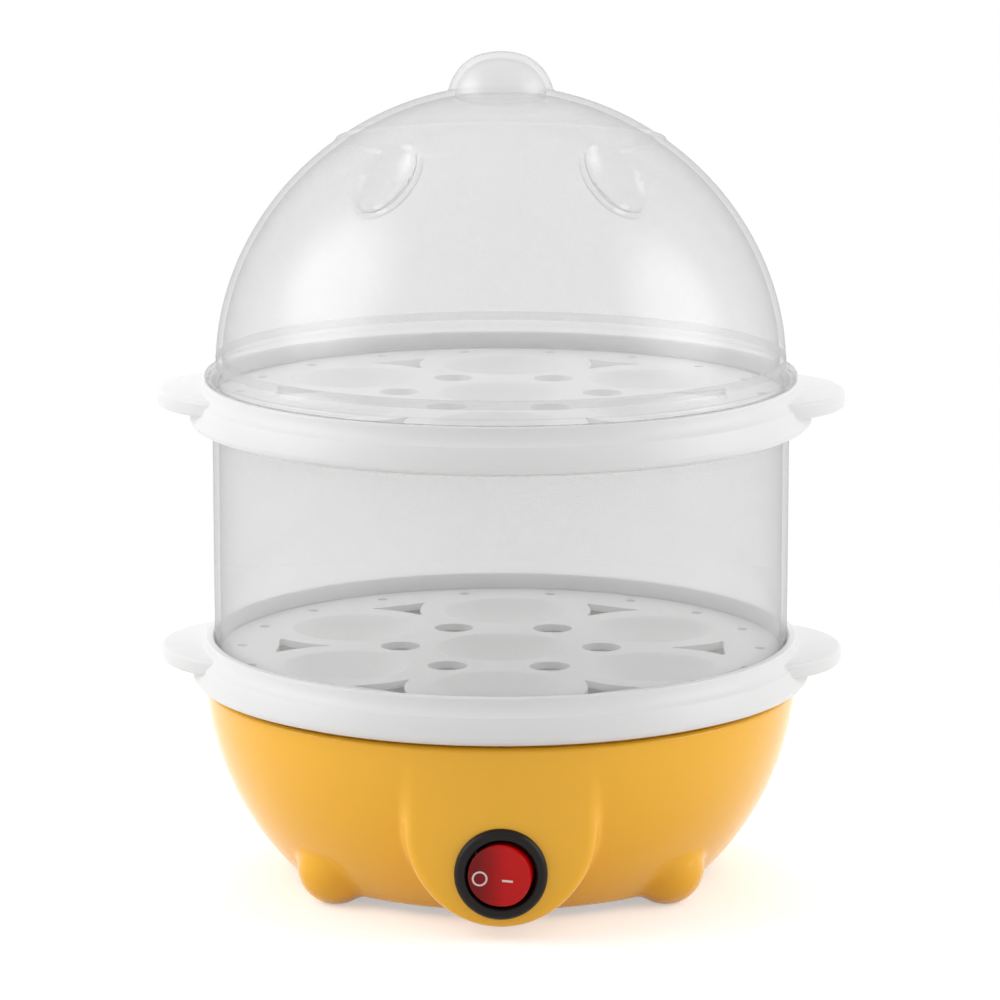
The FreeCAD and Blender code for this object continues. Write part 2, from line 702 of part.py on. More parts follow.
def fuse_clip():
    """Strap bent over the fuse's sleeve, with an ear on each side against the spreader."""
    r0, r1 = FUSE_R, FUSE_R + CLIP_T
    top, mid = SPREADER_UNDER_Z, SPREADER_UNDER_Z - FUSE_R
    section = outline([
        (-r1 - CLIP_EAR, top), (-r0, top), (-r0, mid), ("via", 0, mid - r0), (r0, mid),
        (r0, top), (r1 + CLIP_EAR, top), (r1 + CLIP_EAR, top - CLIP_T), (r1, top - CLIP_T),
        (r1, mid), ("via", 0, mid - r1), (-r1, mid), (-r1, top - CLIP_T),
        (-r1 - CLIP_EAR, top - CLIP_T)], lambda y, z: V(-CLIP_W / 2, FUSE_Y + y, z))
    return section.extrude(V(CLIP_W, 0, 0))


# ---- switch ------------------------------------------------------------------------------
# built with its own axis along +Z (outward) and its width along X, then stood in the boss
def stood_in_boss(shape):
    copy = shape.copy()
    copy.rotate(V(0, 0, 0), V(1, 0, 0), 90)
    copy.translate(V(0, BOSS_FACE_Y, SWITCH_Z))
    return copy


def switch_body():
    body = turned([
        (0, -BARREL_LEN), (BARREL_R, -BARREL_LEN, 0.6), (BARREL_R, 0), (BEZEL_R, 0),
        (BEZEL_R, 0.7), ("via", BEZEL_R - 0.45, 1.55), (BEZEL_R - 1.4, BEZEL_T),
        (WELL_R + 0.5, BEZEL_T), (WELL_R, BEZEL_T - 0.5), (WELL_R, -ROCKER_DEPTH - 2.0),
        (WELL_R - 0.7, -ROCKER_DEPTH - 2.6), (WELL_R - 0.7, -WELL_FLOOR), (0, -WELL_FLOOR)])
    wing = outline([(BARREL_R - 0.5, -8.0), (BARREL_R, -8.0), (BARREL_R + 1.2, -BOWL_WALL - 1.1),
                    (BARREL_R - 0.5, -BOWL_WALL - 1.1)]).extrude(V(0, 5, 0))
    wing.translate(V(0, -2.5, 0))
    body = body.fuse([wing, turned_about_z(wing, 180)])
    cuts = [Part.makeCylinder(AXLE_R + AXLE_SLIP, 2 * AXLE_END + 0.4,
                              V(0, -AXLE_END - 0.2, PIVOT_U), V(0, 1, 0))]
    for x in (0, -SIDE_TAB_X):
        cuts.append(block(x - TAB_T / 2, x + TAB_T / 2, -SWITCH_TAB_W / 2, SWITCH_TAB_W / 2,
                          -BARREL_LEN - 1, -WELL_FLOOR + 1))
    return stood_in_boss(body.cut(cuts))


def switch_tabs():
    """Middle tab ends in the see-saw's fulcrum, side tab in the contact."""
    tabs = []
    for x, top in ((0, -SEESAW_U - 0.25), (-SIDE_TAB_X, -SEESAW_U - 0.9)):
        tab = block(x - TAB_T / 2, x + TAB_T / 2, -SWITCH_TAB_W / 2, SWITCH_TAB_W / 2,
                    -BARREL_LEN - SWITCH_TAB_OUT, top)
        tabs.append(stood_in_boss(tab))
    return Part.makeCompound(tabs)


def switch_rocker():
    slope = math.tan(math.radians(ROCKER_FACE_ANGLE))
    wide = WELL_R
    section = outline([
        (-wide, ROCKER_VALLEY_U + wide * slope), (-wide, -ROCKER_DEPTH),
        (wide, -ROCKER_DEPTH), (wide, ROCKER_VALLEY_U + wide * slope),
        (0, ROCKER_VALLEY_U, 14.0)], lambda x, z: V(x, -WELL_R, z))
    body = section.extrude(V(0, 2 * WELL_R, 0))
    body = body.common(Part.makeCylinder(ROCKER_R, 30, V(0, 0, -15)))
    body = body.common(Part.makeCylinder(ROCKER_SWEEP_R, 30, V(0, -15, PIVOT_U), V(0, 1, 0)))
    stem = block(-STEM_HALF_W, STEM_HALF_W, -STEM_HALF_L, STEM_HALF_L,
                 -STEM_LEN, -ROCKER_DEPTH)
    axle = Part.makeCylinder(AXLE_R, 2 * AXLE_END, V(0, -AXLE_END, PIVOT_U), V(0, 1, 0))
    body = body.fuse([stem, axle]).cut(disc(PLUNGER_R, -STEM_LEN - 1, PLUNGER_SEAT + 1))
    body.rotate(V(0, 0, PIVOT_U), V(0, 1, 0), -ROCKER_TILT)
    return stood_in_boss(body)


def rocker_plunger():
    rod = turned([(0, -PLUNGER_TIP), (PLUNGER_R, -PLUNGER_TIP + PLUNGER_R),
                  (PLUNGER_R, -STEM_LEN + PLUNGER_SEAT), (0, -STEM_LEN + PLUNGER_SEAT)])
    rod.rotate(V(0, 0, PIVOT_U), V(0, 1, 0), -ROCKER_TILT)
    return stood_in_boss(rod)


def switch_seesaw():
    strip = block(-SEESAW_HALF, SEESAW_HALF, -SEESAW_W / 2, SEESAW_W / 2,
                  -SEESAW_U, -SEESAW_U + SEESAW_T)
    strip.rotate(V(0, 0, -SEESAW_U), V(0, 1, 0), SEESAW_TILT)
    return stood_in_boss(strip)


# ---- cord outlet ---------------------------------------------------------------------------
def cord_gland():
    sleeve = bar_y(GLAND_R, COLLAR_FACE_Y + GLAND_FLANGE_T - GLAND_LEN, COLLAR_FACE_Y,
                   0, CORD_Z)
    flange = turned([(0, 0), (GLAND_FLANGE_R, 0), (GLAND_FLANGE_R, GLAND_FLANGE_T, 1.2),
                     (0, GLAND_FLANGE_T)])
    flange.rotate(V(0, 0, 0), V(1, 0, 0), -90)
    flange.translate(V(0, COLLAR_FACE_Y, CORD_Z))
    bore = bar_y(GLAND_BORE_R, COLLAR_FACE_Y - GLAND_LEN, COLLAR_FACE_Y + GLAND_LEN, 0, CORD_Z)
    return sleeve.fuse(flange).cut(bore)


def gland_nut():
    nut = hexagon(GLAND_NUT_AF, 0, GLAND_NUT_T).cut(disc(GLAND_R, -1, GLAND_NUT_T + 2))
    nut.rotate(V(0, 0, 0), V(1, 0, 0), 90)
    nut.translate(V(0, COLLAR_FACE_Y - BOWL_WALL, CORD_Z))
    return nut


# ---- connector block and leads ---------------------------------------------------------------
def block_base():
    return COVER_TOP_Z


def pole_z():
    return block_base() + POLE_SIDE / 2 + 1.5


def connector_block():
    z0 = block_base()
    half_l, half_w = BLOCK_L / 2, BLOCK_W / 2
    body = extruded([(-half_l, BLOCK_Y - half_w, 1.5), (half_l, BLOCK_Y - half_w, 1.5),
                     (half_l, BLOCK_Y + half_w, 1.5), (-half_l, BLOCK_Y + half_w, 1.5)],
                    z0, BLOCK_H)
    cuts = [disc(BLOCK_SCREW_R, z0 - 1, BLOCK_H + 2, 0, BLOCK_Y),
            disc(2.4, z0 + 5, BLOCK_H, 0, BLOCK_Y)]
    for x in (-POLE_X, POLE_X):
        side = POLE_SIDE / 2
        cuts.append(block(x - side, x + side, BLOCK_Y - half_w - 1, BLOCK_Y + half_w + 1,
                          pole_z() - side, pole_z() + side))
        cuts.append(disc(2.0, pole_z(), BLOCK_H, x, BLOCK_Y))
    return body.cut(cuts)


def block_inserts():
    inserts = []
    side = POLE_SIDE / 2
    for x in (-POLE_X, POLE_X):
        body = block(x - side, x + side, BLOCK_Y - BLOCK_W / 2 + 0.5, BLOCK_Y + BLOCK_W / 2 - 0.5,
                     pole_z() - side, pole_z() + side)
        bore = bar_y(POLE_BORE_R, BLOCK_Y - BLOCK_W, BLOCK_Y + BLOCK_W, x, pole_z())
        thread = disc(1.3, pole_z(), BLOCK_H, x, BLOCK_Y)
        inserts.append(body.cut([bore, thread]))
    return Part.makeCompound(inserts)


def block_screws():
    """Two clamp screws in the inserts and the one that holds the block to the cover."""
    screws = []
    for x in (-POLE_X, POLE_X):
        grub = disc(1.3, pole_z() + 1.0, 4.2, x, BLOCK_Y)
        slot = block(x - 1.5, x + 1.5, BLOCK_Y - 0.2, BLOCK_Y + 0.2, pole_z() + 4.6,
                     pole_z() + 6)
        screws.append(grub.cut(slot))
    fixing = pan_screw(BLOCK_SCREW_R, 6.4, 2.2, 1.2)
    fixing.rotate(V(0, 0, 0), V(1, 0, 0), 180)
    screws.append(moved(fixing, 0, BLOCK_Y, block_base() + 5))
    return Part.makeCompound(screws)


def receptacle(tab_w, mouth, out, across, wire_turn=None):
    """Push-on terminal: a box over the tab with its barrel behind it.
    mouth is the centre of the box's open end, out the way the box runs off the tab,
    across the tab's width.  wire_turn sets the barrel off at right angles."""
    length, wall = 7.0, 0.45
    z, x = V(out).normalize(), V(across).normalize()
    y = z.cross(x)
    hw, ht = tab_w / 2, TAB_T / 2

    def brick(x0, x1, y0, y1, z0, z1):
        shape = Part.makeBox(x1 - x0, y1 - y0, z1 - z0, V(x0, y0, z0))
        matrix = FreeCAD.Matrix(x.x, y.x, z.x, mouth.x, x.y, y.y, z.y, mouth.y,
                                x.z, y.z, z.z, mouth.z, 0, 0, 0, 1)
        return shape.transformGeometry(matrix)

    box = brick(-hw - wall, hw + wall, -ht - wall, ht + wall, 0, length)
    back = mouth + z * length
    way = z
    if wire_turn is not None:
        way = V(wire_turn).normalize()
        back = mouth + z * (length - 2.2)
    barrel = Part.makeCylinder(BARREL_OUT_R, BARREL_GRIP, back, way)
    slot = brick(-hw, hw, -ht, ht, -1, length - 1.2)
    return box.fuse(barrel).cut(slot).removeSplitter(), (back + way * BARREL_GRIP, way)


def terminals():
    """All six terminals with the points where their leads begin."""
    tab_tip = BOSS_FACE_Y + BARREL_LEN + SWITCH_TAB_OUT
    mouth_y = tab_tip - 5.8
    blade_z = bar_eye_top() - BAR_T - 2.0 - TAB_T / 2
    blade_tip = BLADE_Y + BLADE_L + 2
    out = {}
    for key, x in (("switch_in", 0.0), ("switch_out", -SIDE_TAB_X)):
        out[key] = receptacle(SWITCH_TAB_W, V(x, mouth_y, SWITCH_Z), V(0, 1, 0), V(0, 0, 1))
    for key, side in (("stat_in", -1), ("stat_out", 1)):
        out[key] = receptacle(BLADE_W, V(0, side * (blade_tip - 5.8), blade_z),
                              V(0, side, 0), V(1, 0, 0))
    blade_end = LEG_END_Z - SEAL_L - 1.2 - BLADE_L
    for key, e in zip(("pin_fuse", "pin_neutral"), leg_ends()):
        out[key] = receptacle(BLADE_W, V(e.x, e.y, blade_end + 5.8), V(0, 0, -1), V(1, 0, 0),
                              V(0, 1, 0))
    return out


def push_on_terminals():
    return Part.makeCompound([shape for shape, _ in terminals().values()])


def lead(points, first, last):
    """Round insulated lead through the points, leaving along first, arriving along last."""
    curve = Part.BSplineCurve()
    curve.interpolate(Points=points, InitialTangent=first, FinalTangent=last)
    edge = curve.toShape()
    mouth = Part.Wire(Part.makeCircle(WIRE_R, points[0], first))
    return Part.Wire(edge).makePipeShell([mouth], True, True)


def leads():
    """Every lead as (points, direction it leaves in, direction it arrives in)."""
    end = {key: place for key, (_, place) in terminals().items()}
    z = pole_z()
    entry = BLOCK_Y - BLOCK_W / 2
    fuse_z = SPREADER_UNDER_Z - FUSE_R
    fuse_end = FUSE_HALF + 1.5
    left, right, front, rear = V(-1, 0, 0), V(1, 0, 0), V(0, -1, 0), V(0, 1, 0)

    def run(start, between, stop, first, last):
        return [start] + [V(*b) for b in between] + [stop], first, last

    in_live, _ = end["switch_in"]
    out_live, _ = end["switch_out"]
    stat_in, _ = end["stat_in"]
    stat_out, _ = end["stat_out"]
    pin_fuse, _ = end["pin_fuse"]
    pin_neutral, _ = end["pin_neutral"]
    return {
        "wire_live": run(V(POLE_X, entry, z), [(5.0, 18, z + 1.0), (2.5, 0, z + 2.5),
                         (0.5, -20, z + 3.5), (0, -36, in_live.z - 3.0)], in_live,
                         front, front),
        "wire_switched": run(out_live, [(-6.2, -40, out_live.z + 0.6),
                             (-4.2, -31, 20.0), (-0.6, -25, stat_in.z - 0.8)], stat_in,
                             rear, rear),
        "wire_to_fuse": run(stat_out, [(-2.4, stat_out.y + 4, stat_out.z + 0.4),
                            (-9.0, 21.0, 24.8), (-15.6, 17.4, 28.6)],
                            V(-fuse_end, FUSE_Y, fuse_z), rear, right),
        "wire_from_fuse": run(V(fuse_end, FUSE_Y, fuse_z), [(20.6, 12.5, 27.0),
                              (21.0, 3.0, 19.5), (17.0, -10.0, 14.5)], pin_fuse,
                              right, front),
        "wire_neutral": run(pin_neutral, [(-11.5, -16, z + 5.0), (-12.5, 0, z + 2.0),
                            (-8.5, 16, z + 0.5)], V(-POLE_X, entry, z), rear, rear),
    }


# ---- tray ----------------------------------------------------------------------------------
def tray_body():
    """Plate, collar, skirt and the channel that slips over the ring or the neck."""
    channel = RING_R + SLIP
    sleeve = channel + SLEEVE_T
    rib = NECK_R - SLIP
    skin = RIM_R - SKIRT_INSET
    web = -TRAY_T - WEB_T
    c, k = COLLAR_ROUND, COLLAR_ROUND * (1 - math.sqrt(0.5))
    return turned([
        (0, 0), (channel, 0), (channel, COLLAR_H - c), (channel + c, COLLAR_H),
        (COLLAR_TOP_R - c, COLLAR_H), ("via", COLLAR_TOP_R - k, COLLAR_H - k),
        (COLLAR_TOP_R, COLLAR_H - c), ("via", COLLAR_TOP_R + COLLAR_HOLLOW, COLLAR_H / 3),
        (RIM_R, -RIM_DROP), (SKIRT_R, SKIRT_WIDE_Z),
        ("via", SKIRT_R - 0.3 * SKIRT_ROUND, -SKIRT_DROP + 0.5 * SKIRT_ROUND),
        (SKIRT_R - SKIRT_ROUND, -SKIRT_DROP), (skin, -SKIRT_DROP), (skin, web),
        (sleeve, web), (sleeve, -SLEEVE_DROP, FOOT_ROUND), (channel, -SLEEVE_DROP, FOOT_ROUND),
        (channel, -TRAY_T), (rib, -TRAY_T), (rib, -RIB_DROP, FOOT_ROUND),
        (rib - RIB_T, -RIB_DROP, FOOT_ROUND), (rib - RIB_T, -TRAY_T), (0, -TRAY_T)])


def ear():
    """Flat lug whose outline runs into the rim through a small curve on each side."""
    centre = EAR_TIP - EAR_R
    inner = COLLAR_TOP_R - EAR_SINK
    rim = COLLAR_TOP_R + EAR_SINK / 4
    f = EAR_ROOT_R
    cx = (centre ** 2 + (rim + f) ** 2 - (EAR_R + f) ** 2) / (2 * centre)
    cy = math.sqrt((rim + f) ** 2 - cx ** 2)
    on_rim = V(cx, cy, 0) * (rim / (rim + f))
    toward = (V(cx, cy, 0) - V(centre, 0, 0)).normalize()
    on_ear = V(centre, 0, 0) + toward * EAR_R
    mid = V(cx, cy, 0) + ((on_rim + on_ear) * 0.5 - V(cx, cy, 0)).normalize() * f
    back = on_rim * (inner / rim)
    z = EAR_TOP - EAR_T

    def p(v, side):
        return V(v.x, side * v.y, z)

    edges = [Part.Arc(p(on_rim, 1), p(mid, 1), p(on_ear, 1)).toShape(),
             Part.Arc(p(on_ear, 1), V(EAR_TIP, 0, z), p(on_ear, -1)).toShape(),
             Part.Arc(p(on_ear, -1), p(mid, -1), p(on_rim, -1)).toShape(),
             Part.makeLine(p(on_rim, -1), p(back, -1)),
             Part.Arc(p(back, -1), V(inner, 0, z), p(back, 1)).toShape(),
             Part.makeLine(p(back, 1), p(on_rim, 1))]
    lug = Part.Face(Part.Wire(edges)).extrude(V(0, 0, EAR_T))
    rounded = [e for e in lug.Edges if e.BoundBox.ZLength < 0.01
               and e.BoundBox.XMax > EAR_TIP - 0.01]
    return lug.makeFillet(EAR_EDGE_R, rounded)


def cup_hollow():
    """Dish for one egg with a rounded lip; the egg's sphere stands in it."""
    centre = EGG_R - CUP_DEPTH
    f = CUP_LIP_R
    lip_x = math.sqrt((EGG_R + f) ** 2 - (centre + f) ** 2)
    scale = EGG_R / (EGG_R + f)
    touch = (lip_x * scale, centre - (centre + f) * scale)
    low_a = math.asin(touch[0] / EGG_R) / 2
    lip_mid = V(touch[0] + lip_x, touch[1] + 0, 0) * 0.5 - V(lip_x, -f, 0)
    lip_mid = V(lip_x, -f, 0) + lip_mid.normalize() * f
    return turned([
        (0, -CUP_DEPTH), ("via", EGG_R * math.sin(low_a), centre - EGG_R * math.cos(low_a)),
        touch, ("via", lip_mid.x, lip_mid.y), (lip_x, 0), (lip_x, 1), (0, 1)])


def cup_shell():
    """Outside of the dish below the plate."""
    centre = EGG_R - CUP_DEPTH
    outer = EGG_R + TRAY_T
    ball = Part.makeSphere(outer, V(0, 0, centre))
    return ball.common(disc(outer, -CUP_DEPTH - TRAY_T - 1, CUP_DEPTH + 1.0 + TRAY_T / 2))


def star_hole():
    """Three-cornered hole with hollow sides, one corner toward the tray's middle."""
    z = -TRAY_T - 1
    corners = [V(STAR_ARM * math.cos(a), STAR_ARM * math.sin(a), 0)
               for a in (math.pi, math.pi / 3, -math.pi / 3)]
    sags = (STAR_SIDE_SAG, STAR_BACK_SAG, STAR_SIDE_SAG)
    edges, ends = [], []
    for k in range(3):
        a, b = corners[k], corners[(k + 1) % 3]
        pull = ((a + b) * -0.5).normalize()
        cut = (b - a).normalize() * (STAR_CORNER_R * 1.4)
        ends.append((a + cut, (a + b) * 0.5 + pull * sags[k], b - cut))
    for k in range(3):
        a, m, b = ends[k]
        edges.append(Part.Arc(a, m, b).toShape())
        corner = corners[(k + 1) % 3]
        nxt = ends[(k + 1) % 3][0]
        tip = corner * ((STAR_ARM - STAR_CORNER_R) / STAR_ARM)
        edges.append(Part.Arc(b, tip, nxt).toShape())
    face = Part.Face(Part.Wire(edges))
    return moved(face.extrude(V(0, 0, TRAY_T + 2)), STAR_PITCH_R, 0, z)


def cup_places():
    ring = [(CUP_PITCH_R * math.cos(math.radians(30 + 60 * k)),
             CUP_PITCH_R * math.sin(math.radians(30 + 60 * k))) for k in range(OUTER_CUPS)]
    return [(0.0, 0.0)] + ring


def tray():
    body = tray_body()
    body = body.fuse([ear(), turned_about_z(ear(), 180)]
                     + [moved(cup_shell(), x, y) for x, y in cup_places()])
    cuts = [moved(cup_hollow(), x, y) for x, y in cup_places()]
    cuts += around(disc(ROUND_HOLE_R, -TRAY_T - 1, TRAY_T + 2, ROUND_HOLE_PITCH_R), OUTER_CUPS)
    cuts += around(star_hole(), OUTER_CUPS)
    cuts += around(disc(RIM_HOLE_R, -TRAY_T - 1, TRAY_T + 2, RIM_HOLE_PITCH_R), RIM_HOLES)
    return turned_about_z(body.cut(cuts), TRAY_TURN)


# ---- ring and dome ---------------------------------------------------------------------------
def clear_ring():
    inner = RING_R - RING_WALL
    top = UPPER_Z - TRAY_T
    return turned([(inner, LOWER_Z, 0.3), (RING_R, LOWER_Z, 0.3), (RING_R, top, 0.3),
                   (inner, top, 0.3)])


def on_dome(a, b, z, degrees):
    """Point (r, z) of the dome's outline, where (r / a)^n + (height / b)^n = 1. The angle
    runs from the top down to the widest place."""
    angle = math.radians(degrees)
    share = 2 / DOME_POWER
    return a * math.sin(angle) ** share, z + b * max(math.cos(angle), 0.0) ** share


def dome_form(a, b, z):
    """Solid of the dome's outline turned about Z, standing on height z."""
    points = [at(*on_dome(a, b, z, 90.0 * (1 - k / DOME_POINTS))) for k in range(DOME_POINTS)]
    top, foot = at(0, z + b), at(0, z)
    curve = Part.BSplineCurve()
    curve.interpolate(Points=points + [top], InitialTangent=V(0, 0, 1),
                      FinalTangent=V(-1, 0, 0))
    wire = Part.Wire([curve.toShape(), Part.makeLine(top, foot), Part.makeLine(foot, points[0])])
    return Part.Face(wire).revolve(V(0, 0, 0), V(0, 0, 1), 360)


def scoop(grow, side):
    """Egg-shaped dent pressed into the dome, long axis down the slope."""
    ball = Part.makeSphere(1.0)
    matrix = FreeCAD.Matrix()
    matrix.scale(SCOOP_HALF_LEN + grow, SCOOP_HALF_W + grow, SCOOP_DEPTH + grow)
    dent = ball.transformGeometry(matrix)
    dent.rotate(V(0, 0, 0), V(0, 1, 0), SCOOP_POLAR)
    r, z = on_dome(DOME_R, DOME_RISE, UPPER_Z + DOME_EQUATOR, SCOOP_POLAR)
    dent.translate(at(r, z))
    dent.rotate(V(0, 0, 0), V(0, 0, 1), -90 + side * SCOOP_AZ)
    return dent


def vent(side):
    """Small steam hole in the lower end of a scoop, square to the dome."""
    polar = SCOOP_POLAR + VENT_BELOW
    hole = Part.makeCylinder(VENT_R, VENT_REACH, V(0, 0, -VENT_REACH * 2 / 3))
    hole.rotate(V(0, 0, 0), V(0, 1, 0), polar)
    r, z = on_dome(DOME_R, DOME_RISE, UPPER_Z + DOME_EQUATOR, polar)
    hole.translate(at(r, z))
    hole.rotate(V(0, 0, 0), V(0, 0, 1), -90 + side * SCOOP_AZ)
    return hole


def knob_foot_z():
    """Height at which the knob's side meets the dome."""
    share = (1 - (KNOB_R / DOME_R) ** DOME_POWER) ** (1 / DOME_POWER)
    return UPPER_Z + DOME_EQUATOR + DOME_RISE * share


def knob(inset=0.0):
    """Round grip on top of the dome; the inner one hollows it from below."""
    r, height = KNOB_R - inset, KNOB_H - inset
    foot_z = knob_foot_z()
    top = foot_z + height
    crown_r, crown_h = r * KNOB_CROWN, height * KNOB_CROWN_H
    ball = (crown_r ** 2 + crown_h ** 2) / (2 * crown_h)
    half = math.asin(crown_r / ball) / 2
    crown = [(crown_r, top - crown_h),
             ("via", ball * math.sin(half), top - ball + ball * math.cos(half)), (0, top)]
    flank = ("via", r * KNOB_FLANK, foot_z + height * KNOB_FLANK_H)
    if inset:
        return turned([(0, foot_z - 12), (r, foot_z - 12), (r, foot_z + 1.0), flank] + crown)
    return turned([(0, foot_z - 1.4), (r + 0.9, foot_z - 0.9), ("via", r + 0.18, foot_z + 0.1),
                   (r - 0.1, foot_z + 1.1), flank] + crown)


def lid():
    """Dome and knob as they are once welded together."""
    equator = UPPER_Z + DOME_EQUATOR
    under = UPPER_Z + COLLAR_H
    flange_top = under + FLANGE_T
    inner_r = DOME_R - DOME_WALL
    spigot_low = UPPER_Z + SPIGOT_GAP
    outer = dome_form(DOME_R, DOME_RISE, equator).fuse([
        turned([(0, flange_top), (FLANGE_R - FLARE_SHORT, flange_top),
                ("via", DOME_R + 0.7, flange_top + 1.3), (DOME_R, flange_top + FLARE_H),
                (0, flange_top + FLARE_H)]),
        turned([(0, under), (FLANGE_R, under, 0.4), (FLANGE_R, flange_top, 0.5),
                (0, flange_top)]),
        turned([(0, spigot_low), (RING_R, spigot_low, 0.3), (RING_R, under), (0, under)]),
        knob()])
    inner = dome_form(inner_r, DOME_RISE - DOME_WALL, equator).fuse([
        disc(inner_r, spigot_low - 1, equator - spigot_low + 1),
        disc(RING_R - RING_WALL, spigot_low - 1, under - spigot_low - 0.6),
        knob(KNOB_WALL)])
    for side in (-1, 1):
        outer = outer.cut(scoop(0.0, side))
        inner = inner.cut(scoop(DOME_WALL, side))
    return outer.cut(inner).cut([vent(-1), vent(1)])


# ---- write every piece -----------------------------------------------------------------------
PIECES = {
    "bottom_cover": bottom_cover,
    "cover_screws": cover_screws,
    "heating_plate": heating_plate,
    "plate_gasket": plate_gasket,
    "heat_spreader": heat_spreader,
    "heating_element": heating_element,
    "element_seals": element_seals,
    "element_pins": element_pins,
    "plate_studs": plate_studs,
    "clamp_bar": clamp_bar,
    "clamp_washers": clamp_washers,
    "clamp_nuts": clamp_nuts,
    "thermostat_cap": thermostat_cap,
    "thermostat_case": thermostat_case,
    "thermostat_blades": thermostat_blades,
    "thermal_fuse": thermal_fuse,
    "fuse_clip": fuse_clip,
    "switch_body": switch_body,
    "switch_tabs": switch_tabs,
    "switch_rocker": switch_rocker,
    "rocker_plunger": rocker_plunger,
    "switch_seesaw": switch_seesaw,
    "cord_gland": cord_gland,
    "gland_nut": gland_nut,
    "connector_block": connector_block,
    "block_inserts": block_inserts,
    "block_screws": block_screws,
    "push_on_terminals": push_on_terminals,
    "clear_ring": clear_ring,
}

for name, make in PIECES.items():
    save(make(), name)
for name, (points, first, last) in leads().items():
    save(lead(points, first, last), name)
bowl, deck_ring = parted(housing(), HOUSING_WELD_Z)
save(bowl, "base_housing")
save(deck_ring, "deck_ring")
dome, grip = parted(lid(), knob_foot_z() + KNOB_WELD)
save(dome, "dome_lid")
save(grip, "lid_knob")
one_tray = tray()
save(moved(one_tray, z=LOWER_Z), "lower_tray")
save(moved(one_tray, z=UPPER_Z), "upper_tray")
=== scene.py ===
# %% [markdown]
# # A two-tier egg boiler
# The boiler is a glossy yellow bowl with a heating plate, two white trays, a clear ring
# and a clear dome. Its exact solids come from the CAD model, which is loaded first and
# never moved. Everything below either gives one of those solids a finish, or puts a finer
# surface in the place of one.

import json
import math

import bmesh
import bpy
import numpy as np
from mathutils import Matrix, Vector

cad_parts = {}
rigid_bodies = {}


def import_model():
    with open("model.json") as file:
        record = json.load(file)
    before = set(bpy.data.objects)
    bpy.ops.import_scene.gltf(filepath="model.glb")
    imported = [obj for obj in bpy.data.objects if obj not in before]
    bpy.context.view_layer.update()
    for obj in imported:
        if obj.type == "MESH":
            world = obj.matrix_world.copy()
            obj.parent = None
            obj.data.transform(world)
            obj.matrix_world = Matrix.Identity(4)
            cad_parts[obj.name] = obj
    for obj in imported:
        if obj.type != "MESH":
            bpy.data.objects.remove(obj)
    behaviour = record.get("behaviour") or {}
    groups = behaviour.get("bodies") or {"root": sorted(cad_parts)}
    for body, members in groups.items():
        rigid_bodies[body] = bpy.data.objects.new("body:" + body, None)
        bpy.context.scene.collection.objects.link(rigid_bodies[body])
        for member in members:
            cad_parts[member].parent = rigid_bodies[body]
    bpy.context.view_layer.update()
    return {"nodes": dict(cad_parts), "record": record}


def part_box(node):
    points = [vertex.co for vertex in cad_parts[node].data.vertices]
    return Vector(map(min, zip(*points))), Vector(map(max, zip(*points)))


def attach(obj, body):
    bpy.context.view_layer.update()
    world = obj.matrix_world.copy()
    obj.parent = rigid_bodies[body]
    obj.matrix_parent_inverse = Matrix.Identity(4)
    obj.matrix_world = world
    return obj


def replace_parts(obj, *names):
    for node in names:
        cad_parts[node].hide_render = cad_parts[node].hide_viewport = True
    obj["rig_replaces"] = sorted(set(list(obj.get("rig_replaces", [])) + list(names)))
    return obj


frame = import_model()

# %% [markdown]
# ## Sizes
# All shapes are worked out in millimetres, because that is how a maker thinks of them, and
# are turned to metres once, when a mesh is made. The heights are read from the solids
# where they can be, so that a surface always lands on the piece it stands for.

# %% Sizes of the main pieces
MM = 0.001
LOWER_Z, RING_TOP = (corner[2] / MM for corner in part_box("clear_ring"))
RING_R = 74.7
UPPER_Z = LOWER_Z + 67.5        # the two trays' plates
NECK_TOP = LOWER_Z - 1.8        # of the bowl, just under the lower plate
TURN = math.radians(-1.5)       # of both trays about the Z axis
print("lower plate at", round(LOWER_Z, 2), "upper plate at", round(UPPER_Z, 2))

# %% [markdown]
# ## Surfaces from numbers
# Most pieces are turned shapes: an outline of (radius, height) points swept round the Z
# axis. A corner on a moulded piece is never perfectly sharp, so the outline helper rounds
# each corner with a small arc. The grid of points is worked out at once with numpy.

# %% Outline and sweep helpers
def rounded(corners, steps=5):
    """Open outline with rounded corners. A corner is (a, b) or (a, b, radius); the arc of
    each rounded corner touches both of its sides."""
    line = []
    for k, corner in enumerate(corners):
        here = np.array(corner[:2], float)
        if len(corner) == 2 or k in (0, len(corners) - 1):
            line.append(here)
            continue
        before = np.array(corners[k - 1][:2], float) - here
        after = np.array(corners[k + 1][:2], float) - here
        before /= np.linalg.norm(before)
        after /= np.linalg.norm(after)
        half = math.acos(np.clip(before @ after, -1, 1)) / 2
        reach = corner[2] / math.tan(half)
        middle = before + after
        middle = here + middle / np.linalg.norm(middle) * corner[2] / math.sin(half)
        start, stop = here + before * reach - middle, here + after * reach - middle
        sweep = math.atan2(start[0] * stop[1] - start[1] * stop[0], start @ stop)
        for t in np.linspace(0, sweep, steps):
            c, s = math.cos(t), math.sin(t)
            line.append(middle + [start[0] * c - start[1] * s, start[0] * s + start[1] * c])
    return np.array(line)


def arc_through(first, via, last, steps=16):
    """Points of the circle through three places, from the first of them to the last. As
    complex numbers, the centre and the two turns about it are one line each."""
    a, m, b = (complex(*v) for v in (first, via, last))
    w = (b - a) / (m - a)
    centre = a - (a - m) * (w - abs(w) ** 2) / 2j / w.imag
    sweep = np.angle((m - centre) / (a - centre)) + np.angle((b - centre) / (m - centre))
    line = centre + (a - centre) * np.exp(1j * np.linspace(0, sweep, steps))
    return np.stack([line.real, line.imag], -1)


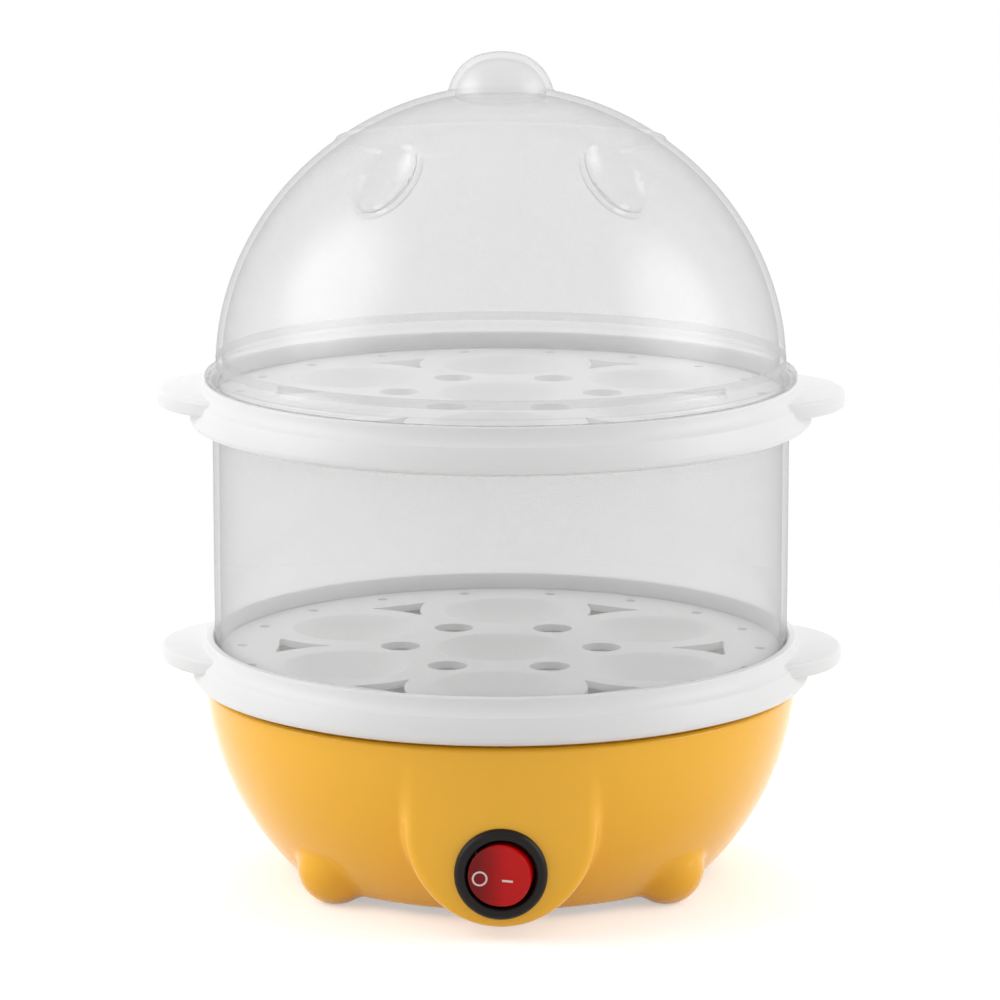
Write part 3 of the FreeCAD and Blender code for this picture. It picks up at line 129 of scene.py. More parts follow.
def turned(line, angles):
    """Points of a turned surface: every outline point at each angle about the Z axis."""
    r, z = line[:, :1], line[:, 1:]
    return np.stack([r * np.cos(angles), r * np.sin(angles), z + 0 * angles], -1)


def swept(line, around):
    """A turned surface all the way round, in even steps."""
    return turned(line, np.linspace(0, 2 * math.pi, around, endpoint=False))


def on_circle(radius, angles):
    """Points (x, y) of a circle about the origin, at angles in radians."""
    return radius * np.stack([np.cos(angles), np.sin(angles)], -1)


def quads(rows, cols, wrap=True, wrap_rows=False):
    """Corner numbers of the four-sided faces of a rows by cols grid."""
    i = np.arange(rows if wrap_rows else rows - 1)[:, None]
    j = np.arange(cols if wrap else cols - 1)[None, :]
    i2, j2 = (i + 1) % rows, (j + 1) % cols
    return np.stack([i * cols + j, i * cols + j2, i2 * cols + j2, i2 * cols + j],
                    -1).reshape(-1, 4)


print("points in a 90 degree corner of 1 mm:", len(rounded([(0, 0), (5, 0, 1), (5, 5)])))

# %% [markdown]
# ## Making a mesh
# A finished piece is one mesh at the origin. Doubled points at poles and seams are merged
# and all faces are turned outward. Edges sharper than about 35 degrees stay crisp and the
# rest are shaded smooth, which is what a moulded surface looks like.

# %% Mesh helper
def make_piece(name, parts, body, stands_for=(), sharp=35.0):
    """One object from several (points, faces) parts, riding on a body of the frame."""
    points, faces, count = [], [], 0
    for part_points, part_faces in parts:
        flat = np.asarray(part_points, float).reshape(-1, 3)
        points.append(flat)
        faces += (np.asarray(part_faces) + count).tolist()
        count += len(flat)
    mesh = bpy.data.meshes.new(name)
    mesh.from_pydata((np.concatenate(points) * MM).tolist(), [], faces)
    work = bmesh.new()
    work.from_mesh(mesh)
    bmesh.ops.remove_doubles(work, verts=work.verts, dist=2e-6)
    bmesh.ops.recalc_face_normals(work, faces=work.faces)
    work.to_mesh(mesh)
    work.free()
    mesh.shade_smooth()
    mesh.set_sharp_from_angle(angle=math.radians(sharp))
    piece = bpy.data.objects.new(name, mesh)
    bpy.context.scene.collection.objects.link(piece)
    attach(piece, body)
    if stands_for:
        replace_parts(piece, *stands_for)
    print(name, "faces", len(mesh.polygons))
    return piece


def even_normals(piece):
    """Large faces decide the shading, so a small rounded corner doesn't bend it."""
    piece.modifiers.new("even_normals", "WEIGHTED_NORMAL").keep_sharp = True
    return piece


# %% [markdown]
# ## The yellow bowl
# The bowl is one moulding: a round bowl, a U-shaped boss for the switch, four round feet
# and a collar for the cord. Such blended forms are hard to draw as patches. Here each
# form is a distance function, which says how far a point is outside it, and a soft minimum
# joins them with a fillet. Rays from the bowl's middle then find where the joined form
# ends. Every ray leaves the form once, so the hits make one clean grid.

# %% Distance functions of the bowl
SIDE_R = 73.5
SIDE_MIDDLE = (3.636, 54.677)   # centre of the side's curve, as (radius, height)
SHOULDER = (76.9, 48.8)         # where the bowl is widest, as (radius, height)
EDGE_Z, MOUTH_R = 2.3, 52.7
BOSS_R, BOSS_HALF = 75.5, 24.1  # radius of its front about Z, and half its width
BOSS_ARC_Z = 27.6               # middle of its half circle
FOOT_R, FOOT_AT = 9.8, (42.2, 37.3, 9.33)
COLLAR_R, COLLAR_END = 10.5, 74.6
SWITCH_Z, SWITCH_HOLE_R = 17.6, 10.4
CORD_Z, CORD_HOLE_R = 19.0, 5.8


def soft_min(a, b, k):
    """Smaller of two distances, with a fillet about k wide where they meet."""
    h = np.maximum(k - np.abs(a - b), 0) / k
    return np.minimum(a, b) - h * h * k / 4


def round_max(a, b, r):
    """Larger of two distances, with an outside edge rounded by r."""
    return (np.minimum(np.maximum(a, b), -r)
            + np.hypot(np.maximum(a + r, 0), np.maximum(b + r, 0)))


def bowl_distance(p):
    """Round bowl: a curved side swept about Z, cut by a flat bottom."""
    rho = np.hypot(p[..., 0], p[..., 1])
    side = np.hypot(rho - SIDE_MIDDLE[0], p[..., 2] - SIDE_MIDDLE[1]) - SIDE_R
    return round_max(side, EDGE_Z - p[..., 2], 1.2)


def boss_distance(p):
    """U-shaped boss: straight sides over a half circle. Its front is part of an upright
    round wall, so it fades into the bowl where the bowl grows as wide as that wall."""
    x, y, z = p[..., 0], p[..., 1], p[..., 2]
    u_shape = np.where(z > BOSS_ARC_Z, np.abs(x), np.hypot(x, z - BOSS_ARC_Z)) - BOSS_HALF
    front = np.hypot(x, y) - BOSS_R
    return np.maximum(round_max(u_shape, front, 2.4), y + 20)


def foot_distance(p):
    """Four balls with a small flat underneath."""
    x, y = np.abs(p[..., 0]) - FOOT_AT[0], np.abs(p[..., 1]) - FOOT_AT[1]
    z = p[..., 2] - FOOT_AT[2]
    return round_max(np.sqrt(x * x + y * y + z * z) - FOOT_R, -p[..., 2], 0.5)


def collar_distance(p):
    """Short round collar for the cord at the back."""
    across = np.hypot(p[..., 0], p[..., 2] - CORD_Z) - COLLAR_R
    return np.maximum(round_max(across, p[..., 1] - COLLAR_END, 1.0), 20 - p[..., 1])


def housing_distance(p):
    """All the forms of the bowl joined with fillets."""
    d = soft_min(bowl_distance(p), boss_distance(p), 2.0)
    d = soft_min(d, foot_distance(p), 2.0)
    return soft_min(d, collar_distance(p), 1.5)


def shoot(distance, origin, ways, near, far, rounds=32):
    """Where rays from origin leave a form: halve the span that holds the surface."""
    low = np.full(ways.shape[:-1], float(near))
    high = np.full(ways.shape[:-1], float(far))
    for _ in range(rounds):
        middle = (low + high) / 2
        inside = distance(origin + ways * middle[..., None]) < 0
        low, high = np.where(inside, middle, low), np.where(inside, high, middle)
    return origin + ways * high[..., None]


test = np.array([[0, -BOSS_R, 30.0], [SHOULDER[0], 0, SHOULDER[1]]])
print("distances on the boss front and the shoulder:", np.round(housing_distance(test), 2))

# %% [markdown]
# The grid is finest where the form bends most: at the boss's sides and the feet. A
# density curve is summed up and cut into equal shares to place the columns. The last row
# stops at the round mouth for the cover, and rows of the neck and deck follow above.

# %% Bowl surface
def spread(low, high, count, density, ends=True):
    """Values from low to high, closer together where density is larger."""
    fine = np.linspace(low, high, 8001)
    total = np.concatenate([[0], np.cumsum((density(fine[1:]) + density(fine[:-1])) / 2)])
    shares = np.linspace(0, total[-1], count, endpoint=ends)
    return np.interp(shares, total, fine)


def bump(x, centre, width):
    """Bell curve that peaks at 1."""
    return np.exp(-((x - centre) / width) ** 2)


def bowl_columns(a):
    """Density over the azimuth: high at the boss's sides, the feet and the collar."""
    feet = math.degrees(math.atan2(FOOT_AT[1], FOOT_AT[0]))
    d = 1 + 5 * bump(a, -109.7, 2.4) + 5 * bump(a, -70.3, 2.4) + 0.8 * bump(a, -90, 16)
    for f in (feet, -feet, 180 - feet, feet - 180):
        d = d + 1.2 * bump(a, f, 9)
    return d + 2 * bump(a, 90, 9)


def mouth_angle(azimuth, origin):
    """Steepest downward angle of each column: there its ray ends at the mouth."""
    low, high = np.full(len(azimuth), 30.0), np.full(len(azimuth), 60.0)
    for _ in range(24):
        middle = (low + high) / 2
        hit = shoot(housing_distance, origin, ray(azimuth, middle), 10, 115)
        outside = np.hypot(hit[:, 0], hit[:, 1]) > MOUTH_R
        low, high = np.where(outside, middle, low), np.where(outside, high, middle)
    return low


def ray(azimuth, down):
    """Unit vectors at these azimuths and downward angles, in degrees."""
    a, e = np.broadcast_arrays(np.radians(azimuth), np.radians(down))
    return np.stack([np.cos(a) * np.cos(e), np.sin(a) * np.cos(e), -np.sin(e)], -1)


origin = np.array([0, 0, SHOULDER[1]])
columns = spread(-180, 180, 500, bowl_columns, ends=False)
share = spread(0, 1, 140, lambda t: 1 + 1.6 / (1 + np.exp(-(t - 0.68) * 30)))
down = share[:, None] * mouth_angle(columns, origin)[None, :]
ways = ray(np.broadcast_to(columns, down.shape), down)
outside = shoot(housing_distance, origin, ways, 10, 115)

lip = outside[-1].copy()
lip[:, 2] = 8.0                                     # inner wall of the mouth
over = rounded([(77.0, 48.0), (76.85, 49.8, 0.95), (RING_R, 49.8, 0.3),
                (RING_R, NECK_TOP, 0.6), (72.5, NECK_TOP, 0.5), (72.5, 48.2, 1.4),
                (68.4, 46.6, 0.4), (67.7, 45.0), (60.2, 45.0, 0.4), (60.2, 42.6)], 4)[1:]
upper = turned(over[::-1], np.radians(columns))
bowl_grid = np.concatenate([upper, outside, lip[None]])
bowl_faces = quads(*bowl_grid.shape[:2])
middle = bowl_grid.reshape(-1, 3)[bowl_faces].mean(1)
x, y, z = middle.T
open_switch = (y < -70) & (np.hypot(x, z - SWITCH_Z) < SWITCH_HOLE_R)
open_cord = (y > 70) & (np.hypot(x, z - CORD_Z) < CORD_HOLE_R)
bowl = make_piece("bowl_moulding", [(bowl_grid, bowl_faces[~(open_switch | open_cord)])],
                  "base", ["base_housing", "deck_ring"])

# %% [markdown]
# ## The trays
# A tray is a round plate with seven dished egg cups and rows of steam holes, inside a
# rim that grips the ring. The plate is a square grid of points. Each hole is again a
# distance function: grid points close to a hole's edge are moved exactly onto it, and the
# squares inside are left out. That gives clean round edges from a plain grid.

# %% Shape of the plate
CUP_R, CUP_DEPTH, CUP_LIP = 22.2, 7.0, 1.2
PLATE_T, CHANNEL_R = 1.8, 75.0
LIP_R = math.sqrt((CUP_R + CUP_LIP) ** 2 - (CUP_R - CUP_DEPTH + CUP_LIP) ** 2)
cup_places = np.array([[0, 0]] + [[45.4 * math.cos(math.radians(30 + 60 * k)),
                                   45.4 * math.sin(math.radians(30 + 60 * k))]
                                  for k in range(6)])


def ring_of(radius, count):
    """Evenly spaced places on a circle, the first one on X."""
    return on_circle(radius, np.radians(np.arange(count) * 360.0 / count))


def star_distance(x, y):
    """Three-cornered hole with hollow sides, which are arcs of three large circles."""
    corners = [10.6 * np.array([math.cos(t), math.sin(t)])
               for t in (math.pi, math.pi / 3, -math.pi / 3)]
    d = np.hypot(x, y) - 9.9
    for k, sag in enumerate((1.6, 0.6, 1.6)):
        p, q = corners[k], corners[(k + 1) % 3]
        chord = np.linalg.norm(q - p)
        radius = (chord ** 2 / 4 + sag ** 2) / (2 * sag)
        away = (p + q) / np.linalg.norm(p + q)
        c = (p + q) / 2 + away * (radius - sag)
        d = -soft_min(-d, -(radius - np.hypot(x - c[0], y - c[1])), 1.2)
    return d


def hole_distance(x, y):
    """Distance to the nearest steam hole: below zero inside one."""
    d = np.full(x.shape, 99.0)
    for hole_x, hole_y in ring_of(26.3, 6):
        d = np.minimum(d, np.hypot(x - hole_x, y - hole_y) - 5.2)
    for hole_x, hole_y in ring_of(67.8, 18):
        d = np.minimum(d, np.hypot(x - hole_x, y - hole_y) - 1.6)
    for k in range(6):
        c, s = math.cos(math.radians(60 * k)), math.sin(math.radians(60 * k))
        d = np.minimum(d, star_distance(x * c + y * s - 53.6, y * c - x * s))
    return d


def plate_heights(x, y):
    """Top and underside of the plate. A cup is part of a ball, met by a small lip curve."""
    rho = np.min([np.hypot(x - cx, y - cy) for cx, cy in cup_places], axis=0)
    centre = CUP_R - CUP_DEPTH
    touch = LIP_R * CUP_R / (CUP_R + CUP_LIP)
    ball = centre - np.sqrt(np.maximum(CUP_R ** 2 - rho ** 2, 0))
    lip = -CUP_LIP + np.sqrt(np.maximum(CUP_LIP ** 2 - (LIP_R - rho) ** 2, 0))
    top = np.where(rho < touch, ball, np.where(rho < LIP_R, lip, 0.0))
    shell = centre - np.sqrt(np.maximum((CUP_R + PLATE_T) ** 2 - rho ** 2, 0))
    return top, np.minimum(-PLATE_T, np.where(rho < CUP_R, shell, 0))


def plate_part(cell=0.82):
    """Points and faces of the perforated plate, with the walls of its holes."""
    n = int(2 * CHANNEL_R / cell) + 3
    side = (np.arange(n) - (n - 1) / 2) * cell
    x, y = np.meshgrid(side, side, indexing="ij")

    def edge(x, y):
        return np.maximum(np.hypot(x, y) - CHANNEL_R, -hole_distance(x, y))

    for _ in range(4):                              # move near points onto the edge
        d, h = edge(x, y), 0.01
        gx = (edge(x + h, y) - edge(x - h, y)) / (2 * h)
        gy = (edge(x, y + h) - edge(x, y - h)) / (2 * h)
        size = np.maximum(np.hypot(gx, gy), 0.3)
        near = np.abs(d) < 0.52 * cell
        x = np.where(near, x - d * gx / size ** 2, x)
        y = np.where(near, y - d * gy / size ** 2, y)
    x, y = x.ravel(), y.ravel()
    keep = edge(x, y) < 0.02 * cell
    squares = quads(n, n, wrap=False)
    corners = keep[squares].sum(1)
    whole = squares[corners == 4]
    cut = [squares[(corners == 3) & ~keep[squares[:, k]]][:, [(k + i) % 4 for i in (1, 2, 3)]]
           for k in range(4)]                       # squares with one corner over the edge
    whole, cut = (f[edge(x[f].mean(1), y[f].mean(1)) < -0.02 * cell]
                  for f in (whole, np.concatenate(cut)))
    top, under = plate_heights(x, y)
    sides = np.concatenate([f[:, [k, (k + 1) % f.shape[1]]]
                            for f in (whole, cut) for k in range(f.shape[1])])
    code = np.sort(sides, 1) @ np.array([n * n, 1])
    _, first, times = np.unique(code, return_index=True, return_counts=True)
    rim = sides[first[times == 1]]                  # a side used once lies on an edge
    used = np.unique(np.concatenate([whole.ravel(), cut.ravel()]))
    number, count = np.full(n * n, -1), len(used)
    number[used] = np.arange(count)
    whole, cut, rim = number[whole], number[cut], number[rim]
    points = np.concatenate([np.stack([x, y, z], -1)[used] for z in (top, under)])
    walls = np.stack([rim[:, 1], rim[:, 0], rim[:, 0] + count, rim[:, 1] + count], -1)
    four = np.concatenate([whole, whole[:, ::-1] + count, walls])
    three = np.concatenate([cut, cut[:, ::-1] + count])
    return [(points, four), (points, three)]


plate = plate_part()
print("plate faces:", [len(faces) for _, faces in plate])

# %% [markdown]
# The rim is a turned outline: a collar above the plate, a flared skirt outside, and a
# channel underneath for the piece below. Two thin ears are the grips. An ear is drawn
# as a strip between the rim and its round tip, and the strip's edge follows a small
# quarter-round, so it looks like a moulded lug.

# %% Rim, ears and the two trays
def rim_part():
    """Closed turned outline of collar, skirt, sleeve and centring rib."""
    flare = arc_through((77.2, 3.7), (77.55, 1.4), (79.0, -0.6), 10)
    nose = arc_through((80.5, -5.2), (80.17, -6.55), (79.4, -7.1), 8)
    line = np.concatenate([
        rounded([(74.0, -0.9), (74.0, 0.0), (75.0, 0.0, 0.4), (75.0, 4.2, 0.5),
                 (77.2, 4.2, 0.5), tuple(flare[1])])[:-1],
        flare[1:-1],
        rounded([tuple(flare[-2]), (79.0, -0.6, 0.3), tuple(nose[0])])[1:-1],
        nose,
        rounded([tuple(nose[-1]), (77.9, -7.1, 0.3), (77.9, -3.0, 0.3), (76.4, -3.0, 0.3),
                 (76.4, -8.2, 0.4), (75.0, -8.2, 0.4), (75.0, -1.8), (72.2, -1.8, 0.2),
                 (72.2, -4.6, 0.4), (70.8, -4.6, 0.4), (70.8, -1.7), (70.8, -0.9),
                 (74.0, -0.9)])[1:]])
    points = swept(line[:-1], 320)
    return points, quads(*points.shape[:2], wrap_rows=True)


def ear_part(side):
    """Strip of an ear: rows run from the rim under the ear, round its edge and back. The
    ear's tip is an arc, and two hollow root arcs lead from it to the rim."""
    tip_r, root_r, rim, inner, low, high, edge = 30.0, 5.0, 77.4, 76.4, -2.9, 1.4, 1.1
    centre = np.array([59.0, 0.0])
    cx = (59.0 ** 2 + (rim + root_r) ** 2 - (tip_r + root_r) ** 2) / (2 * 59.0)
    root = np.array([cx, math.sqrt((rim + root_r) ** 2 - cx ** 2)])
    begin = math.atan2(-root[1], -root[0])
    toward = math.atan2(*(centre - root)[::-1])
    lean = math.atan2(*(root - centre)[::-1])

    def outer(inset):
        first = root + on_circle(root_r + inset, np.linspace(begin, toward, 14))
        tip = centre + on_circle(tip_r - inset, np.linspace(lean, -lean, 90)[1:-1])
        return np.concatenate([first, tip, first[::-1] * [1, -1]])

    count = len(outer(0.0))
    reach = math.atan2(root[1], root[0])
    inside = on_circle(inner, np.linspace(reach, -reach, count))
    q = np.linspace(0, math.pi / 2, 7)
    rows = [(inside, low)]
    rows += [(outer(edge * (1 - math.sin(v))), low + edge * (1 - math.cos(v))) for v in q]
    rows += [(outer(edge * (1 - math.cos(v))), high - edge * (1 - math.sin(v))) for v in q]
    rows += [(inside, high)]
    grid = np.stack([np.concatenate([r, np.full((count, 1), z)], 1) for r, z in rows])
    grid[..., :2] *= side
    return grid, quads(*grid.shape[:2], wrap=False, wrap_rows=True)


def turned_tray(level):
    """Parts of a tray at this height, turned as a whole by a small angle."""
    c, s = math.cos(TURN), math.sin(TURN)
    spin = np.array([[c, s, 0], [-s, c, 0], [0, 0, 1]])
    parts = plate + [rim_part(), ear_part(1), ear_part(-1)]
    return [(np.asarray(p).reshape(-1, 3) @ spin + [0, 0, level], f) for p, f in parts]


trays = [make_piece("lower_tray_moulding", turned_tray(LOWER_Z), "lower_tier",
                    ["lower_tray"]),
         make_piece("upper_tray_moulding", turned_tray(UPPER_Z), "upper_tier",
                    ["upper_tray"])]

# %% [markdown]
# ## The clear ring and dome
# Clear plastic shows both faces of its wall, so each clear piece is a closed shell with
# a real 1.6 mm wall. The ring is a plain turned shell. The dome is made like the bowl, by
# rays from its middle: a form a little more pointed than half a ball, joined with the
# round knob, less two egg-shaped scoops. The inner face is the same form, one wall in.

# %% Ring
ring_line = rounded([(73.9, LOWER_Z), (RING_R, LOWER_Z, 0.3), (RING_R, RING_TOP, 0.3),
                     (73.1, RING_TOP, 0.3), (73.1, LOWER_Z, 0.3), (73.9, LOWER_Z)], 5)[:-1]
ring_points = swept(ring_line, 320)
ring = even_normals(make_piece(
    "ring_shell", [(ring_points, quads(*ring_points.shape[:2], wrap_rows=True))], "ring",
    ["clear_ring"]))

# %% Dome distance functions
DOME_R, DOME_RISE, WALL = 73.7, 71.6, 1.6
EQUATOR = UPPER_Z + 7.8
POWER = 1.94                    # 2 would be an ellipse
KNOB_R, KNOB_H = 13.4, 10.3
KNOB_FOOT = EQUATOR + DOME_RISE * (1 - (KNOB_R / DOME_R) ** POWER) ** (1 / POWER)
SCOOP_POLAR, VENT_POLAR = math.radians(41.5), math.radians(47.0)
VENT_TURN, VENT_R = 37.0, 1.7   # degrees to each side of the front, and the bore's radius


def on_dome(angle):
    """Point (radius, height) of the dome's outline, its angle counted from the top."""
    return np.array([DOME_R * math.sin(angle) ** (2 / POWER),
                     EQUATOR + DOME_RISE * math.cos(angle) ** (2 / POWER)])


SCOOP_AT = on_dome(SCOOP_POLAR)


def scoop_frame(p, side):
    """Point in the scoop's own axes: down the slope, across, and out of the dome."""
    a = math.radians(-90 + side * VENT_TURN)
    out = p[..., 0] * math.cos(a) + p[..., 1] * math.sin(a) - SCOOP_AT[0]
    across = -p[..., 0] * math.sin(a) + p[..., 1] * math.cos(a)
    up = p[..., 2] - SCOOP_AT[1]
    c, s = math.cos(SCOOP_POLAR), math.sin(SCOOP_POLAR)
    return out * c - up * s, across, out * s + up * c


def ball_distance(x, y, z, a, b, c):
    """Near enough the distance to a ball stretched to half-widths a, b and c."""
    k = np.sqrt((x / a) ** 2 + (y / b) ** 2 + (z / c) ** 2)
    g = np.sqrt((x / a ** 2) ** 2 + (y / b ** 2) ** 2 + (z / c ** 2) ** 2)
    return k * (k - 1) / np.maximum(g, 1e-6)


def form_distance(p, inset):
    """Near enough the distance to the dome's plain form, (r / a)^n + (h / b)^n = 1."""
    a, b = DOME_R - inset, DOME_RISE - inset
    u, w = np.hypot(p[..., 0], p[..., 1]) / a, np.abs(p[..., 2] - EQUATOR) / b
    k = (u ** POWER + w ** POWER) ** (1 / POWER)
    slope = np.hypot(u ** (POWER - 1) / a, w ** (POWER - 1) / b) * k ** (1 - POWER)
    return (k - 1) / np.maximum(slope, 1e-6)


def knob_line(inset):
    """Radius of the knob at each height, from its foot to its crown."""
    r, height = KNOB_R - inset, KNOB_H - inset
    crown_r, crown_z = r * 0.50, height * 0.88
    flank = arc_through((r - 0.1, 1.1), (r * 0.77, height * 0.62), (crown_r, crown_z))
    crown = arc_through((crown_r, crown_z), (crown_r / 2, height * 0.97), (0, height))
    return np.concatenate([[[r + 0.2, -12.0], [r, 0.4]], flank, crown[1:]])


def knob_distance(p, inset):
    """Sideways and upward reach of the knob, as one distance."""
    line = knob_line(inset)
    h = p[..., 2] - KNOB_FOOT
    rho = np.hypot(p[..., 0], p[..., 1])
    side = rho - np.interp(h, line[:, 1], line[:, 0])
    over = h - np.interp(rho, line[::-1, 0], line[::-1, 1])
    steep = np.clip(np.minimum(np.abs(side), np.abs(over)), 0, None)
    return np.where((side < 0) & (h < line[-1, 1]), -steep, steep)


def dome_distance(p, inset):
    """Dome and knob joined with a fillet, less the two scoops."""
    d = form_distance(p, inset)
    d = soft_min(d, knob_distance(p, inset * 1.125), 1.2 if not inset else 0.6)
    for side in (-1, 1):
        s = ball_distance(*scoop_frame(p, side), 11.6 + inset, 7.4 + inset, 5.0 + inset)
        d = -soft_min(-d, s, 0.5)
    return d


print("knob foot at", round(KNOB_FOOT, 2), "top at", round(KNOB_FOOT + KNOB_H, 2))

# %% [markdown]
# The columns crowd together near the two scoops, and the rows near the scoops and the
# knob. Below the dome's widest line the wall runs straight down, flares out to the flange
# that rests on the tray, and ends in a short spigot inside the collar.

# %% Dome surface
def dome_columns(a):
    """Density over the azimuth: high at the two scoops."""
    return 1 + 3.2 * (bump(a, -90 + VENT_TURN, 12) + bump(a, -90 - VENT_TURN, 12))


def dome_rows(t):
    """Density over the angle from the top: high at the scoops and at the knob's foot."""
    return 1 + 2.4 * bump(t, 41.5, 11) + 2.2 * bump(t, 9.5, 3.5)


def dome_face(inset, columns, rows):
    """Grid of one face of the dome, from the top down to the widest line."""
    azimuth = spread(-180, 180, columns, dome_columns, ends=False)
    polar = spread(0, 90, rows, dome_rows)
    ways = ray(np.broadcast_to(azimuth, (rows, columns)), polar[:, None] - 90.0)
    centre = np.array([0, 0, EQUATOR])
    return shoot(lambda p: dome_distance(p, inset), centre, ways, 20, 110), azimuth


FLANGE_LOW, SPIGOT_LOW = UPPER_Z + 4.2, UPPER_Z + 0.6
FLANGE_TOP = FLANGE_LOW + 1.6
flare = arc_through((DOME_R, FLANGE_TOP + 4.4), (74.4, FLANGE_TOP + 1.3),
                    (75.8, FLANGE_TOP), 12)
foot_line = np.concatenate([flare, rounded(
    [tuple(flare[-1]), (76.6, FLANGE_TOP, 0.5), (76.6, FLANGE_LOW, 0.4),
     (RING_R, FLANGE_LOW, 0.1), (RING_R, SPIGOT_LOW, 0.3), (73.1, SPIGOT_LOW, 0.3),
     (73.1, FLANGE_LOW - 0.4, 0.3), (DOME_R - WALL, FLANGE_LOW + 0.6)], 5)[1:]])
outer_face, azimuth = dome_face(0.0, 340, 120)
inner_face, _ = dome_face(WALL, 340, 120)
foot_face = turned(foot_line, np.radians(azimuth))
shell = np.concatenate([outer_face, foot_face, inner_face[::-1]])


def vent_axis_gap(p):
    """Distance of a point from the axis of the nearer steam vent."""
    r, z = on_dome(VENT_POLAR)
    lean, rise = math.sin(VENT_POLAR), math.cos(VENT_POLAR)
    gaps = []
    for side in (-1, 1):
        a = math.radians(-90 + side * VENT_TURN)
        foot = np.array([r * math.cos(a), r * math.sin(a), z])
        way = np.array([lean * math.cos(a), lean * math.sin(a), rise])
        rel = p - foot
        gaps.append(np.linalg.norm(rel - (rel @ way)[..., None] * way, axis=-1))
    return np.min(gaps, axis=0)


shell_faces = quads(*shell.shape[:2])
flat = shell.reshape(-1, 3)
gap = vent_axis_gap(flat)
keep = ~((gap[shell_faces] < VENT_R).all(1) & (flat[shell_faces][..., 1].mean(1) < 0))
dome = make_piece("dome_shell", [(shell, shell_faces[keep])], "lid",
                  ["dome_lid", "lid_knob"], sharp=50)

# %% [markdown]
# ## The switch
# The switch is a common round rocker. Its black ring is a turned outline whose well holds
# the red rocker. The rocker's face is two slopes that meet in a soft valley, so one side
# always stands out of the ring. Both stand on the boss, facing the front, and the rocker
# is at rest with its left side pressed.

# %% Switch ring and rocker
SWITCH_AT = np.array([0.0, -75.2, SWITCH_Z])
TILT, PIVOT = math.radians(-10.0), 0.5


def stood(points):
    """From the switch's own axes (outward is +Z) to the front of the boss."""
    p = np.asarray(points, float).reshape(-1, 3)
    return np.stack([p[:, 0], -p[:, 2], p[:, 1]], -1) + SWITCH_AT


def tilted(points):
    """Turned about the rocker's axle, which runs up and down."""
    p = np.asarray(points, float).reshape(-1, 3)
    c, s = math.cos(TILT), math.sin(TILT)
    z = p[:, 2] - PIVOT
    return stood(np.stack([p[:, 0] * c + z * s, p[:, 1], z * c - p[:, 0] * s + PIVOT], -1))


ring_edge = arc_through((11.6, 0.7), (11.06, 1.59), (10.1, 2.0), 9)
bezel_line = np.concatenate([
    rounded([(0, -13.5), (10.0, -13.5, 0.6), (10.0, -0.6, 0.05), (11.6, -0.6, 0.05),
             (11.6, 0.7)], 4),
    ring_edge[1:],
    rounded([(10.1, 2.0), (9.1, 2.0, 0.5), (8.7, 1.3, 0.2), (8.7, -5.5, 0.2),
             (8.0, -6.1, 0.2), (8.0, -12.0, 0.2), (0, -12.0)], 5)[1:]])
bezel_points = swept(bezel_line, 160)
bezel = even_normals(make_piece(
    "switch_ring", [(stood(bezel_points), quads(*bezel_points.shape[:2]))], "base",
    ["switch_body"]))


def rocker_face(x, y):
    """Two slopes of 12 degrees that meet in a soft valley, dropped at the round ends."""
    slope, soft, valley_z, end_r = math.tan(math.radians(12)), 1.6, 2.2, 8.45
    z = valley_z + slope * (np.sqrt(x * x + soft * soft) - soft * 0.9)
    ends = PIVOT + np.sqrt(np.maximum(end_r ** 2 - x * x, 0.01))
    return np.minimum(z, ends)


def rocker_part(rows=40, columns=160):
    """Round cap: rings of the face, a rounded edge, the side wall, and a closed back."""
    radius, edge = 7.9, 0.5
    angle = np.linspace(0, 2 * math.pi, columns, endpoint=False)
    rings = [(r, 0.0) for r in np.linspace(0, radius - edge, rows)]
    rings += [(radius - edge * (1 - math.sin(t)), edge * (1 - math.cos(t)))
              for t in np.linspace(0.2, math.pi / 2, 6)]
    grid = []
    for r, fall in rings:
        x, y = r * np.cos(angle), r * np.sin(angle)
        grid.append(np.stack([x, y, rocker_face(x, y) - fall], -1))
    for r, z in ((radius, -3.5), (radius - 0.4, -3.9), (2.6, -3.9), (2.6, -7.0), (0.0, -7.0)):
        grid.append(np.stack([r * np.cos(angle), r * np.sin(angle), 0 * angle + z], -1))
    return tilted(grid), quads(len(grid), columns)


rocker = make_piece("rocker_cap", [rocker_part()], "rocker",
                    ["switch_rocker"], sharp=40)

# %% [markdown]
# The off and on marks are the plain circle and bar that such switches carry. They are
# printed a few hundredths of a millimetre proud. Each is a thin strip laid on the face's
# own height function, so it follows the slope exactly.

# %% Marks on the rocker
def on_face(x, y, lift):
    """Points a little above or below the rocker's face."""
    return np.stack([x, y, rocker_face(x, y) + lift], -1)


def circle_mark(cx, cy, r_in, r_out, columns=64):
    """Flat ring: rows go up its inner side, across, and down its outer side."""
    t = np.linspace(0, 2 * math.pi, columns, endpoint=False)
    rows = [on_face(cx + r * np.cos(t), cy + r * np.sin(t), lift)
            for r, lift in ((r_in, -0.05), (r_in, 0.05), (r_out, 0.05), (r_out, -0.05))]
    return tilted(np.array(rows)), quads(4, columns, wrap_rows=True)


def bar_mark(x0, x1, cy, half, rows=12):
    """Flat bar: rows run along it, columns go round its narrow section."""
    x = np.linspace(x0, x1, rows)[:, None] + np.zeros(4)
    y = cy + np.array([-half, -half, half, half]) + 0 * x
    lift = np.array([-0.05, 0.05, 0.05, -0.05]) + 0 * x
    return tilted(on_face(x, y, lift)), quads(rows, 4)


off_mark = make_piece("mark_off", [circle_mark(-4.9, -0.7, 1.45, 1.9)],
                      "rocker")
on_mark = make_piece("mark_on", [bar_mark(0.6, 3.4, -1.15, 0.26)],
                     "rocker")

